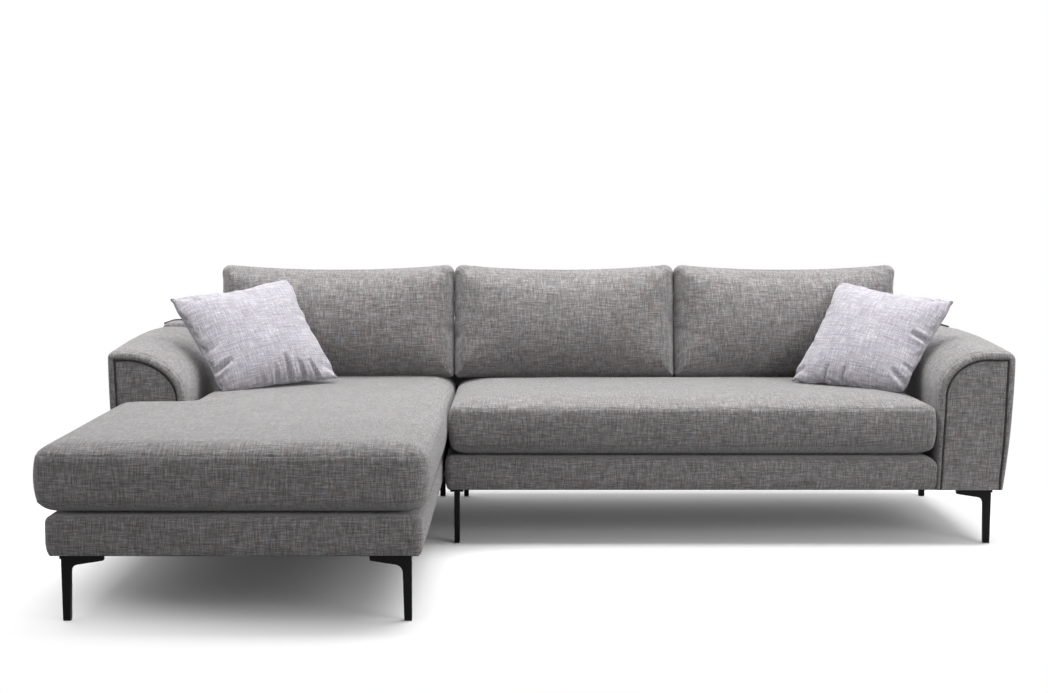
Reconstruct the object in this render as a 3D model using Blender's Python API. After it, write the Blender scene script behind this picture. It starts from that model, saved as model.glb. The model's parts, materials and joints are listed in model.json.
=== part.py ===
"""Corner sofa with a chaise on the left: two upholstered modules on black steel legs.

Metres, +X to the sitter's left as seen from the front, +Y to the rear, +Z up.
The origin is on the floor, under the middle of the sofa's bounding box.
"""

import math

import bmesh
import bpy
import numpy as np
from mathutils import Matrix, Vector
from mathutils.geometry import delaunay_2d_cdt

# Clearances
TOUCH = 0.0003
MODULE_GAP = 0.008
CUSHION_GAP = 0.003
JOIN = 0.0005
CUT_PAST = 0.02

# Overall sizes
WIDTH = 2.80
SOFA_DEPTH = 0.85
CHAISE_REACH = 0.87
SEAT_OVERHANG = 0.014

# Levels
GLIDE_HEIGHT = 0.003
LEG_RISE = 0.1725
BASE_HEIGHT = 0.1052
ARM_HEIGHT = 0.428
ARM_RISE = 0.027
BACK_ABOVE_ARM = 0.029

# Plan
ARM_WIDTH = 0.2365
CHAISE_SEAT_WIDTH = 0.7975
CHAISE_STEP = 0.076
BACK_THICKNESS = 0.148
BASE_CORNER = 0.024
BACK_CORNER = 0.035

# Upholstery
DUST_THICKNESS = 0.0012
DUST_INSET = 0.006
DECK_THICKNESS = 0.004
BASE_WALL = 0.008
BASE_EDGE = 0.014
ARM_WALL = 0.014
BACK_WALL = 0.014
BACK_EDGE = 0.014
SIDE_TUCK = 0.036
BASE_TUCK = 0.006
BASE_BELLY = 0.35
PIPING_RADIUS = 0.0028

# Arm section
ARM_OUTER_RADIUS = 0.036
ARM_INNER_RADIUS = 0.138
ARM_FRONT_ROLL = 0.011
ARM_CREST = 0.75
ARM_SECTIONS = (0.0, 0.16, 0.36, 0.58, 0.8, 1.0)
FRONT_ROLL_STEP = 0.3
BAND_WIDTH = 0.021
BAND_TAPER = 0.010
PANEL_THICKNESS = 0.008
PANEL_SETBACK = 0.003

# Timber
RAIL_WIDTH = 0.022
RAIL_HEIGHT = 0.082
BACK_BOARD = 0.022
ARM_BOARD = 0.018
ARM_STRETCHER = 0.040
FRAME_CLEARANCE = 0.003
TIMBER_LIFT = 0.0009

# Springs
WIRE = 0.0038
SPRING_WIDTH = 0.052
SPRING_PITCH = 0.046
SPRING_RISE = 0.012
SPRING_TURN = 0.003
CLIP_LENGTH = 0.034
CLIP_WIDTH = 0.014
CLIP_HEIGHT = 0.008
MAIN_SPRINGS_PER_BAY = 2
MAIN_BAYS = 3
CHAISE_FRONT_SPRINGS = 3
CHAISE_REAR_SPRINGS = 2

# Seat cushions
SEAT_LOWER_ROLL = 0.030
SEAT_BORDER = 0.119
SEAT_CROWN = 0.035
SEAT_CROWN_REACH = 0.15
SEAT_BULGE = 0.006
SEAT_FOOT_INSET = 0.050
SEAT_CORNER = 0.055
CHAISE_LEFT_OVERHANG = 0.051
CHAISE_RIGHT_OVERHANG = 0.0165

# Back cushions
BACK_CUSHION_GAP = 0.003
BACK_CUSHION_EASE = 0.0015
BACK_CUSHION_WIDTH = 0.804
BACK_CUSHION_NARROW = 0.7565
BACK_CUSHION_HEIGHT = 0.3995
BACK_CUSHION_DEPTH = 0.106
BACK_FRONT_CROWN = 0.056
BACK_REAR_CROWN = 0.012
BACK_CUSHION_LEAN = 9.0
BACK_TOP_CORNER = 0.034
BACK_LOW_CORNER = 0.014
BACK_TOP_DIP = 0.014
BACK_SIDE_DIP = 0.005
BACK_SEAM_LEDGE = 0.010

# Scatter cushions
SCATTER_SIZE = 0.41
SCATTER_CROWN = 0.062
SCATTER_SEAM = 0.004
SCATTER_DIP = 0.018
SCATTER_TIP = 0.010
SCATTER_RECLINE = 42.0
LEFT_SCATTER_YAW = 31.5
LEFT_SCATTER_ROLL = 8.4
LEFT_SCATTER_IN = 0.167
LEFT_SCATTER_BACK = 0.303
RIGHT_SCATTER_YAW = 35.4
RIGHT_SCATTER_ROLL = 7.9
RIGHT_SCATTER_IN = 0.141
RIGHT_SCATTER_BACK = 0.306

# Legs
LEG_THICKNESS = 0.017
LEG_POST_TOP = 0.024
LEG_POST_FOOT = 0.0205
LEG_ARM_LENGTH = 0.107
LEG_TIP_HEIGHT = 0.011
LEG_ROOT_HEIGHT = 0.024
LEG_FILLET = 0.021
LEG_OUTER_SLOPE = 0.3
LEG_PLATE = 0.003
LEG_PLATE_DEPTH = 0.042
LEG_SETBACK = 0.040
LEG_END_INSET = 0.031
ARM_LEG_INSET = 0.018
JUNCTION_LEG_INSET = 0.036
GLIDE_MARGIN = 0.0015

# Module connectors
CONNECTOR_PLATE = 0.0022
CONNECTOR_LENGTH = 0.080
CONNECTOR_HEIGHT = 0.044
CONNECTOR_TONGUE = 0.040
CONNECTOR_TONGUE_HEIGHT = 0.012
CONNECTOR_REACH = 0.0008
CONNECTOR_FRONT = 0.14
CONNECTOR_REAR = 0.50

# Faceting
ARC_STEPS = 4
SIDE_STEPS = 5
LEG_STEPS = 5
SEAT_FACET = 0.056
BACK_FACET = 0.048
SCATTER_FACET = 0.032

# Places worked out from the sizes above
REAR_Y = (SOFA_DEPTH + CHAISE_REACH + SEAT_OVERHANG) / 2
FRONT_Y = REAR_Y - SOFA_DEPTH
CHAISE_Y = FRONT_Y - CHAISE_REACH
BACK_Y = REAR_Y - BACK_THICKNESS
LEFT_X = -WIDTH / 2
RIGHT_X = WIDTH / 2
SEAT_LEFT = LEFT_X + ARM_WIDTH
SEAT_RIGHT = RIGHT_X - ARM_WIDTH
JUNCTION_X = SEAT_LEFT + CHAISE_SEAT_WIDTH
CHAISE_LEFT = LEFT_X + CHAISE_STEP

UNDERSIDE_Z = GLIDE_HEIGHT + LEG_RISE
COVER_Z = UNDERSIDE_Z + DUST_THICKNESS + TOUCH
DECK_Z = COVER_Z + BASE_HEIGHT
TIMBER_Z = COVER_Z + TIMBER_LIFT
SEAT_Z = DECK_Z + TOUCH
SEAM_Z = SEAT_Z + SEAT_LOWER_ROLL + SEAT_BORDER
CROWN_Z = SEAM_Z + SEAT_CROWN
ARM_TOP_Z = COVER_Z + ARM_HEIGHT
BACK_TOP_Z = ARM_TOP_Z + BACK_ABOVE_ARM


def clear_scene():
    for obj in list(bpy.data.objects):
        bpy.data.objects.remove(obj)


def material(name, color, roughness, metallic=0.0):
    made = bpy.data.materials.new(name)
    made.use_nodes = True
    shader = made.node_tree.nodes["Principled BSDF"]
    shader.inputs["Base Color"].default_value = (*color, 1.0)
    shader.inputs["Roughness"].default_value = roughness
    shader.inputs["Metallic"].default_value = metallic
    made.diffuse_color = (*color, 1.0)
    return made


def tweed(name):
    return material(name, (0.20, 0.195, 0.19), 0.95)


def pale_weave(name):
    return material(name, (0.58, 0.56, 0.60), 0.95)


def dust_cloth(name):
    return material(name, (0.02, 0.02, 0.02), 0.95)


def timber(name):
    return material(name, (0.55, 0.40, 0.24), 0.7)


def black_steel(name):
    return material(name, (0.012, 0.012, 0.013), 0.42, 0.6)


def black_plastic(name):
    return material(name, (0.03, 0.03, 0.03), 0.9)


def place(name, mesh, finish):
    """Links a mesh as one named piece with its own material."""
    obj = bpy.data.objects.new(name, mesh)
    bpy.context.scene.collection.objects.link(obj)
    mesh.materials.append(finish(name))
    return obj


def mesh_of(bm, name):
    bm.normal_update()
    bmesh.ops.recalc_face_normals(bm, faces=bm.faces)
    mesh = bpy.data.meshes.new(name)
    bm.to_mesh(mesh)
    bm.free()
    mesh.set_sharp_from_angle(angle=math.radians(40))
    return mesh


# Outlines: closed lists of 2D points, anticlockwise

def rounded(corners):
    """An outline from (x, y, radius) corners, each radius drawn as an arc."""
    points = []
    count = len(corners)
    for i, (x, y, radius) in enumerate(corners):
        here = Vector((x, y))
        if radius <= 0:
            points.append(here)
            continue
        before = (Vector(corners[i - 1][:2]) - here).normalized()
        after = (Vector(corners[(i + 1) % count][:2]) - here).normalized()
        half = before.angle(after) / 2
        centre = here + (before + after).normalized() * radius / math.sin(half)
        start = here + before * radius / math.tan(half) - centre
        end = here + after * radius / math.tan(half) - centre
        sweep = start.angle_signed(end)
        for step in range(ARC_STEPS + 1):
            turn = Matrix.Rotation(-sweep * step / ARC_STEPS, 2)
            points.append(centre + turn @ start)
    return points


def inset(points, distance):
    """The outline moved inwards by a distance, or outwards by a negative one."""
    moved = []
    count = len(points)
    for i, here in enumerate(points):
        along = (here - points[i - 1]).normalized()
        onward = (points[(i + 1) % count] - here).normalized()
        normal = Vector((-along.y, along.x))
        other = Vector((-onward.y, onward.x))
        mitre = (normal + other) / (1 + normal.dot(other))
        moved.append(here + mitre * distance)
    return moved


def shrunk(corners, distance):
    """The rounded outline with its sides moved inwards; its corners keep some radius."""
    moved = inset([Vector(corner[:2]) for corner in corners], distance)
    ring = []
    for point, (_, _, radius) in zip(moved, corners):
        ring.append((point.x, point.y, max(0.4 * radius, radius - distance)))
    return rounded(ring)


def side_parts(points, longest):
    """How many parts each side is cut into so that none is longer than asked."""
    after = points[1:] + points[:1]
    return [math.ceil((b - a).length / longest) for a, b in zip(points, after)]


def divided(points, parts):
    """The outline with each side cut into its number of equal parts."""
    dense = []
    for i, here in enumerate(points):
        there = points[(i + 1) % len(points)]
        dense += [here.lerp(there, part / parts[i]) for part in range(parts[i])]
    return dense


def shrinking(corners, longest, bend=None):
    """A function that gives the rounded outline at any inset, with equal point counts."""
    parts = side_parts(rounded(corners), longest)

    def outline_at(distance):
        outline = divided(shrunk(corners, distance), parts)
        return bend(outline) if bend else outline

    return outline_at


def edge_distance(point, outline):
    nearest = math.inf
    for i, end in enumerate(outline):
        start = outline[i - 1]
        side = end - start
        along = max(0.0, min(1.0, (point - start).dot(side) / side.length_squared))
        nearest = min(nearest, (point - start - side * along).length)
    return nearest


def is_inside(point, outline):
    inside = False
    for i, end in enumerate(outline):
        start = outline[i - 1]
        if (start.y > point.y) != (end.y > point.y):
            cross = start.x + (point.y - start.y) * (end.x - start.x) / (end.y - start.y)
            inside ^= point.x < cross
    return inside


# Solids

def loft(name, rings, finish):
    """A closed solid through rings of equal length, capped at both ends."""
    bm = bmesh.new()
    loops = [[bm.verts.new(point) for point in ring] for ring in rings]
    for lower, upper in zip(loops, loops[1:]):
        for i, vert in enumerate(lower):
            after = (i + 1) % len(lower)
            bm.faces.new((vert, lower[after], upper[after], upper[i]))
    bm.faces.new(reversed(loops[0]))
    bm.faces.new(loops[-1])
    return place(name, mesh_of(bm, name), finish)


def flat_ring(outline, z):
    return [Vector((p.x, p.y, z)) for p in outline]


def upright_ring(outline, y):
    return [Vector((p.x, y, p.y)) for p in outline]


def box_mesh(bm, low, high):
    low, high = Vector(low), Vector(high)
    middle = Matrix.Translation((low + high) / 2)
    size = Matrix.Diagonal((*(high - low), 1.0))
    bmesh.ops.create_cube(bm, size=1.0, matrix=middle @ size)


def box(name, low, high, finish):
    bm = bmesh.new()
    box_mesh(bm, low, high)
    return place(name, mesh_of(bm, name), finish)


def helper(obj):
    """Marks a cutter or another shape that is no piece of the sofa."""
    obj.hide_render = True
    obj.display_type = "WIRE"
    return obj


def boolean(obj, other, operation):
    modifier = obj.modifiers.new(other.name, "BOOLEAN")
    modifier.operation = operation
    modifier.object = helper(other)
    return obj


def framed_board(name, outline, windows, low, high, upright, finish):
    """A board from low to high, with a window cut through it at each rectangle.

    It lies flat, or stands upright with its outline seen from the front.
    """
    ring = upright_ring if upright else flat_ring
    board = loft(name, [ring(outline, low), ring(outline, high)], finish)
    bm = bmesh.new()
    near, far = low - CUT_PAST, high + CUT_PAST
    for x0, v0, x1, v1 in windows:
        if upright:
            box_mesh(bm, (x0, near, v0), (x1, far, v1))
        else:
            box_mesh(bm, (x0, v0, near), (x1, v1, far))
    return boolean(board, place(name + "_windows", mesh_of(bm, name), finish), "DIFFERENCE")


def rectangle(x0, y0, x1, y1):
    return [Vector((x0, y0)), Vector((x1, y0)), Vector((x1, y1)), Vector((x0, y1))]


def tube(name, points, radius, sides_setting, finish):
    """A round cord or wire along an open line of points."""
    curve = bpy.data.curves.new(name, "CURVE")
    curve.dimensions = "3D"
    curve.bevel_depth = radius
    curve.bevel_resolution = sides_setting
    curve.use_fill_caps = True
    spline = curve.splines.new("POLY")
    spline.points.add(len(points) - 1)
    for slot, point in zip(spline.points, points):
        slot.co = (*point, 1.0)
    return place(name, curve, finish)


# Resting one piece on another

def shape_along(obj, direction):
    """Points as (across, up, along) for a direction of travel, with edges and triangles."""
    along = Vector(direction).normalized()
    across = along.orthogonal().normalized()
    axes = np.array([across, along.cross(across), along])
    mesh = obj.data
    mesh.calc_loop_triangles()
    points = np.array([vert.co for vert in mesh.vertices]) @ axes.T
    edges = points[np.array([edge.vertices for edge in mesh.edges])]
    triangles = points[np.array([part.vertices for part in mesh.loop_triangles])]
    return points, edges, triangles


def vertex_travel(points, triangles, sign):
    """How far points can go before they meet triangles, at least."""
    least = math.inf
    for a, b, c in triangles:
        u, v = (b - a)[:2], (c - a)[:2]
        area = u[0] * v[1] - u[1] * v[0]
        if abs(area) < 1e-12:
            continue
        w = points[:, :2] - a[:2]
        s = (w[:, 0] * v[1] - w[:, 1] * v[0]) / area
        t = (u[0] * w[:, 1] - u[1] * w[:, 0]) / area
        inside = (s >= 0) & (t >= 0) & (s + t <= 1)
        if inside.any():
            surface = a[2] + s * (b - a)[2] + t * (c - a)[2]
            least = min(least, (sign * (surface - points[:, 2]))[inside].min())
    return least


def edge_travel(edges, others):
    """How far edges can go before they meet other edges, at least."""
    least = math.inf
    p, r = others[:, 0], others[:, 1] - others[:, 0]
    for start, end in edges:
        q = end - start
        area = q[0] * r[:, 1] - q[1] * r[:, 0]
        area = np.where(np.abs(area) < 1e-12, np.inf, area)
        w = p - start
        s = (w[:, 0] * r[:, 1] - w[:, 1] * r[:, 0]) / area
        t = (w[:, 0] * q[1] - w[:, 1] * q[0]) / area
        crossing = (s >= 0) & (s <= 1) & (t >= 0) & (t <= 1) & np.isfinite(area)
        if crossing.any():
            gap = p[:, 2] + t * r[:, 2] - start[2] - s * q[2]
            least = min(least, gap[crossing].min())
    return least


def rest(obj, supports, direction, clearance=TOUCH):
    """Moves a piece along a direction until it is a small clearance from its supports."""
    points, edges, triangles = shape_along(obj, direction)
    travel = math.inf
    for support in supports:
        other_points, other_edges, other_triangles = shape_along(support, direction)
        travel = min(
            travel,
            vertex_travel(points, other_triangles, 1),
            vertex_travel(other_points, triangles, -1),
            edge_travel(edges, other_edges),
        )
    step = Vector(direction).normalized() * (travel - clearance)
    obj.data.transform(Matrix.Translation(step))
    return obj


# Outlines of the modules

def chaise_base_corners():
    """Seen from above: wide ahead of the left arm, narrower beside it."""
    return [
        (CHAISE_LEFT, CHAISE_Y, BASE_CORNER),
        (JUNCTION_X - MODULE_GAP / 2, CHAISE_Y, BASE_CORNER),
        (JUNCTION_X - MODULE_GAP / 2, BACK_Y - TOUCH, 0),
        (SEAT_LEFT + TOUCH, BACK_Y - TOUCH, 0),
        (SEAT_LEFT + TOUCH, FRONT_Y - TOUCH, 0),
        (CHAISE_LEFT, FRONT_Y - TOUCH, 0),
    ]


def main_base_corners():
    return [
        (JUNCTION_X + MODULE_GAP / 2, FRONT_Y, BASE_CORNER),
        (SEAT_RIGHT - TOUCH, FRONT_Y, 0),
        (SEAT_RIGHT - TOUCH, BACK_Y - TOUCH, 0),
        (JUNCTION_X + MODULE_GAP / 2, BACK_Y - TOUCH, 0),
    ]


def side_tuck(z):
    """How far the arm's and the back's outer side curves in below the arm's top."""
    drop = (ARM_TOP_Z - z) / ARM_HEIGHT
    return SIDE_TUCK * max(0.0, drop) ** 2.2


# Bases

def base_cover(name, corners):
    """An upholstered skin over the rails and the spring deck, open underneath."""
    steps = [
        (BASE_WALL + BASE_TUCK, DECK_Z - DECK_THICKNESS),
        (BASE_WALL + BASE_TUCK, COVER_Z),
        (BASE_TUCK, COVER_Z),
        (0, COVER_Z + BASE_HEIGHT * BASE_BELLY),
        (0, DECK_Z - BASE_EDGE),
        (BASE_EDGE * 0.3, DECK_Z - BASE_EDGE * 0.3),
        (BASE_EDGE, DECK_Z),
    ]
    return loft(name, [flat_ring(shrunk(corners, d), z) for d, z in steps], tweed)


def clip_blocks(name, places, along_y):
    """Grooved clips on the rails, which hold the ends of the zigzag springs."""
    bm = bmesh.new()
    top = TIMBER_Z + RAIL_HEIGHT
    channel = WIRE / 2 + TOUCH
    for x, y in places:
        for side in (-1, 1):
            near = side * channel
            far = side * CLIP_WIDTH / 2
            across = sorted((near, far))
            along = (-CLIP_LENGTH / 2, CLIP_LENGTH / 2)
            reach_x, reach_y = (along, across) if along_y else (across, along)
            low = (x + reach_x[0], y + reach_y[0], top - JOIN)
            high = (x + reach_x[1], y + reach_y[1], top + CLIP_HEIGHT)
            box_mesh(bm, low, high)
    return place(name, mesh_of(bm, name), timber)


def timber_base(name, outline, windows, clips, along_y):
    """Rails and cross rails, with the spring clips raised from them."""
    frame = framed_board(name, outline, windows, TIMBER_Z, TIMBER_Z + RAIL_HEIGHT, False, timber)
    return boolean(frame, clip_blocks(name + "_clips", clips, along_y), "UNION")


def spring(name, start, end, across):
    """One zigzag spring between two clips: straight bars joined by round turns."""
    start, end, across = Vector(start), Vector(end), Vector(across)
    run = end - start
    bars = max(3, round(run.length / SPRING_PITCH)) + 1
    points = []
    for bar in range(bars):
        side = 1 if bar % 2 else -1
        at = bar / (bars - 1)
        rise = SPRING_RISE * math.sin(math.pi * at)
        here = start + run * at + Vector((0, 0, rise))
        reach = SPRING_WIDTH / 2 - SPRING_TURN
        points.append(here - across * side * reach)
        points.append(here + across * side * reach)
        if bar < bars - 1:
            step = run * 0.5 / (bars - 1)
            points.append(here + step + across * side * SPRING_WIDTH / 2)
    return tube(name, points, WIRE / 2, 0, black_steel)


def spring_z():
    return TIMBER_Z + RAIL_HEIGHT + WIRE / 2 + TOUCH


def main_module_base():
    corners = main_base_corners()
    base_cover("main_base_cover", corners)
    clear = BASE_WALL + BASE_TUCK + TOUCH
    x0 = JUNCTION_X + MODULE_GAP / 2 + clear
    x1 = SEAT_RIGHT - TOUCH - clear
    y0 = FRONT_Y + clear
    y1 = BACK_Y - TOUCH - clear
    bay = (x1 - x0 - RAIL_WIDTH) / MAIN_BAYS
    windows = []
    springs = []
    for index in range(MAIN_BAYS):
        left = x0 + RAIL_WIDTH + bay * index
        right = left + bay - RAIL_WIDTH
        windows.append((left, y0 + RAIL_WIDTH, right, y1 - RAIL_WIDTH))
        for place_in_bay in range(MAIN_SPRINGS_PER_BAY):
            share = (place_in_bay + 0.5) / MAIN_SPRINGS_PER_BAY
            springs.append(left + (right - left) * share)
    front, rear = y0 + RAIL_WIDTH / 2, y1 - RAIL_WIDTH / 2
    clips = [(x, y) for x in springs for y in (front, rear)]
    timber_base("main_base_frame", shrunk(corners, clear), windows, clips, True)
    for index, x in enumerate(springs, 1):
        spring(f"main_spring_{index}", (x, front, spring_z()), (x, rear, spring_z()), (1, 0, 0))


def chaise_module_base():
    corners = chaise_base_corners()
    base_cover("chaise_base_cover", corners)
    clear = BASE_WALL + BASE_TUCK + TOUCH
    x0 = CHAISE_LEFT + clear
    x1 = JUNCTION_X - MODULE_GAP / 2 - clear
    waist_x = SEAT_LEFT + TOUCH + clear
    y0 = CHAISE_Y + clear
    waist_y = FRONT_Y - TOUCH - clear
    y1 = BACK_Y - TOUCH - clear
    middle_y = (y0 + waist_y) / 2
    half = RAIL_WIDTH / 2
    windows = [
        (x0 + RAIL_WIDTH, y0 + RAIL_WIDTH, x1 - RAIL_WIDTH, middle_y - half),
        (x0 + RAIL_WIDTH, middle_y + half, x1 - RAIL_WIDTH, waist_y - RAIL_WIDTH),
        (waist_x + RAIL_WIDTH, waist_y, x1 - RAIL_WIDTH, y1 - RAIL_WIDTH),
    ]
    runs = []
    for index in range(CHAISE_FRONT_SPRINGS):
        share = (index + 0.5) / CHAISE_FRONT_SPRINGS
        y = y0 + RAIL_WIDTH + (waist_y - y0 - 2 * RAIL_WIDTH) * share
        if abs(y - middle_y) < (SPRING_PITCH + RAIL_WIDTH) / 2:
            y += SPRING_WIDTH
        runs.append((x0 + half, x1 - half, y))
    for index in range(CHAISE_REAR_SPRINGS):
        share = (index + 0.5) / CHAISE_REAR_SPRINGS
        y = waist_y + (y1 - RAIL_WIDTH - waist_y) * share
        runs.append((waist_x + half, x1 - half, y))
    clips = [(x, y) for left, right, y in runs for x in (left, right)]
    timber_base("chaise_base_frame", shrunk(corners, clear), windows, clips, False)
    for index, (left, right, y) in enumerate(runs, 1):
        spring(f"chaise_spring_{index}", (left, y, spring_z()), (right, y, spring_z()), (0, 1, 0))


def dust_covers():
    """Thin cloth under each module, from the front rail to the back."""
    tuck = side_tuck(UNDERSIDE_Z)
    chaise = [Vector(p) for p in (
        (CHAISE_LEFT, CHAISE_Y),
        (JUNCTION_X - MODULE_GAP / 2, CHAISE_Y),
        (JUNCTION_X - MODULE_GAP / 2, REAR_Y),
        (LEFT_X + tuck, REAR_Y),
        (LEFT_X + tuck, FRONT_Y),
        (CHAISE_LEFT, FRONT_Y),
    )]
    main = rectangle(JUNCTION_X + MODULE_GAP / 2, FRONT_Y, RIGHT_X - tuck, REAR_Y)
    for name, outline in (("chaise_dust_cover", chaise), ("main_dust_cover", main)):
        edge = inset(outline, BASE_TUCK + DUST_INSET)
        top = UNDERSIDE_Z + DUST_THICKNESS
        rings = [flat_ring(edge, UNDERSIDE_Z), flat_ring(edge, top)]
        loft(name, rings, dust_cloth)


# Arms

def arm_outline(top, shrink=0.0, bottom=None):
    """The right arm's section as (x, z), from the outer bottom corner anticlockwise."""
    low = COVER_Z if bottom is None else bottom
    points = []
    outer_top = top - ARM_OUTER_RADIUS
    for step in range(SIDE_STEPS + 1):
        z = COVER_Z + (outer_top - COVER_Z) * step / SIDE_STEPS
        points.append(Vector((RIGHT_X - side_tuck(z), z)))
    centre = Vector((RIGHT_X - ARM_OUTER_RADIUS, outer_top))
    for step in range(1, ARC_STEPS + 1):
        turn = math.radians(90) * step / ARC_STEPS
        points.append(centre + ARM_OUTER_RADIUS * Vector((math.cos(turn), math.sin(turn))))
    centre = Vector((SEAT_RIGHT + ARM_INNER_RADIUS, top - ARM_INNER_RADIUS))
    steps = 2 * ARC_STEPS
    for step in range(steps + 1):
        turn = math.radians(90) * (1 + step / steps)
        points.append(centre + ARM_INNER_RADIUS * Vector((math.cos(turn), math.sin(turn))))
    points.append(Vector((SEAT_RIGHT, COVER_Z)))
    points = inset(points, shrink)
    for index in (0, -1):
        points[index].y = low
    return points


def band_outline(top, shrink):
    """The front panel's seam: the band round it narrows towards the floor."""
    points = arm_outline(top, BAND_WIDTH + shrink)
    middle = (RIGHT_X + SEAT_RIGHT) / 2
    for point in points:
        fall = max(0.0, (top - BAND_WIDTH - ARM_INNER_RADIUS - point.y) / ARM_HEIGHT)
        point.x += math.copysign(BAND_TAPER * 1.6 * fall, point.x - middle)
    return points


def arm_top(y):
    """The arm's top climbs from its front and dips again before the back."""
    share = (y - FRONT_Y) / (BACK_Y - FRONT_Y)
    return ARM_TOP_Z + ARM_RISE * math.sin(math.pi / 2 * share / ARM_CREST)


def side_of(points, mirror):
    """The right arm's points, or the left arm's."""
    if mirror:
        return [Vector((-p.x, *p[1:])) for p in reversed(points)]
    return points


def lower_ends(points, z):
    """The outline with its first and last point, the bottom corners, moved to z."""
    points[0].y = z
    points[-1].y = z
    return points


def arm(side, mirror):
    """Cover, front panel, piping and inner frame of one arm."""
    length = BACK_Y - TOUCH - FRONT_Y
    bend = ARM_FRONT_ROLL * FRONT_ROLL_STEP
    rings = [
        upright_ring(arm_outline(ARM_TOP_Z, ARM_FRONT_ROLL), FRONT_Y),
        upright_ring(arm_outline(ARM_TOP_Z, bend), FRONT_Y + bend),
    ]
    for share in ARM_SECTIONS:
        y = FRONT_Y + ARM_FRONT_ROLL + (length - ARM_FRONT_ROLL) * share
        rings.append(upright_ring(arm_outline(arm_top(y)), y))
    cover = loft(f"{side}_arm_cover", [side_of(ring, mirror) for ring in rings], tweed)

    recess = lower_ends(band_outline(ARM_TOP_Z, 0.0), COVER_Z - CUT_PAST)
    floor = FRONT_Y + PANEL_SETBACK + PANEL_THICKNESS + TOUCH
    cut = [upright_ring(recess, FRONT_Y - CUT_PAST), upright_ring(recess, floor)]
    recess_cutter = loft(f"{side}_arm_recess", [side_of(ring, mirror) for ring in cut], tweed)
    boolean(cover, recess_cutter, "DIFFERENCE")

    hollow = arm_outline(ARM_TOP_Z, ARM_WALL, COVER_Z - CUT_PAST)
    inner_front = floor + ARM_WALL
    inner_rear = BACK_Y - TOUCH - ARM_WALL
    cut = [upright_ring(hollow, inner_front), upright_ring(hollow, inner_rear)]
    hollow_cutter = loft(f"{side}_arm_hollow", [side_of(ring, mirror) for ring in cut], tweed)
    boolean(cover, hollow_cutter, "DIFFERENCE")

    panel_edge = 2 * (PIPING_RADIUS + TOUCH)
    panel = lower_ends(band_outline(ARM_TOP_Z, panel_edge), COVER_Z)
    face = FRONT_Y + PANEL_SETBACK
    rings = [upright_ring(panel, face), upright_ring(panel, face + PANEL_THICKNESS)]
    loft(f"{side}_arm_front_panel", [side_of(r, mirror) for r in rings], tweed)

    seam = lower_ends(band_outline(ARM_TOP_Z, PIPING_RADIUS + TOUCH), COVER_Z)
    path = side_of(upright_ring(seam, face + PIPING_RADIUS / 2), mirror)
    tube(f"{side}_arm_piping", path, PIPING_RADIUS, 1, tweed)

    arm_frame(f"{side}_arm_frame", inner_front, inner_rear, mirror)


def arm_frame(name, front, rear, mirror):
    """Two shaped boards joined by stretchers, inside the arm's cover."""
    board = arm_outline(ARM_TOP_Z, ARM_WALL + FRAME_CLEARANCE, TIMBER_Z)
    y0, y1 = front + TOUCH, rear - TOUCH
    rings = [upright_ring(board, y0), upright_ring(board, y0 + ARM_BOARD)]
    obj = loft(name, [side_of(r, mirror) for r in rings], timber)
    rings = [upright_ring(board, y1 - ARM_BOARD), upright_ring(board, y1)]
    boolean(obj, loft(name + "_rear_board", [side_of(r, mirror) for r in rings], timber), "UNION")
    edge = ARM_WALL + FRAME_CLEARANCE + SIDE_TUCK
    outer = RIGHT_X - edge
    inner = SEAT_RIGHT + edge
    crest = ARM_TOP_Z - edge
    half = ARM_BOARD / 2
    bm = bmesh.new()
    stretchers = (
        (outer - ARM_BOARD, TIMBER_Z + ARM_BOARD),
        (inner, TIMBER_Z + ARM_BOARD),
        (outer - ARM_BOARD, crest - ARM_STRETCHER),
        (inner, ARM_TOP_Z - ARM_INNER_RADIUS - ARM_STRETCHER),
    )
    for x, z in stretchers:
        x0, x1 = (-x - ARM_BOARD, -x) if mirror else (x, x + ARM_BOARD)
        box_mesh(bm, (x0, y0 + half, z), (x1, y1 - half, z + ARM_STRETCHER))
    boolean(obj, place(name + "_stretchers", mesh_of(bm, name), timber), "UNION")


# Backs

def back_outline(z, left_end, distance=0.0):
    """The back seen from above at one height; its outer end follows the arm's side."""
    outer = side_tuck(z)
    if left_end:
        return shrunk([
            (LEFT_X + outer, BACK_Y, 1.5 * BACK_EDGE),
            (JUNCTION_X - MODULE_GAP / 2, BACK_Y, 0),
            (JUNCTION_X - MODULE_GAP / 2, REAR_Y, 0),
            (LEFT_X + outer, REAR_Y, BACK_CORNER),
        ], distance)
    return shrunk([
        (JUNCTION_X + MODULE_GAP / 2, BACK_Y, 0),
        (RIGHT_X - outer, BACK_Y, 1.5 * BACK_EDGE),
        (RIGHT_X - outer, REAR_Y, BACK_CORNER),
        (JUNCTION_X + MODULE_GAP / 2, REAR_Y, 0),
    ], distance)


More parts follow.
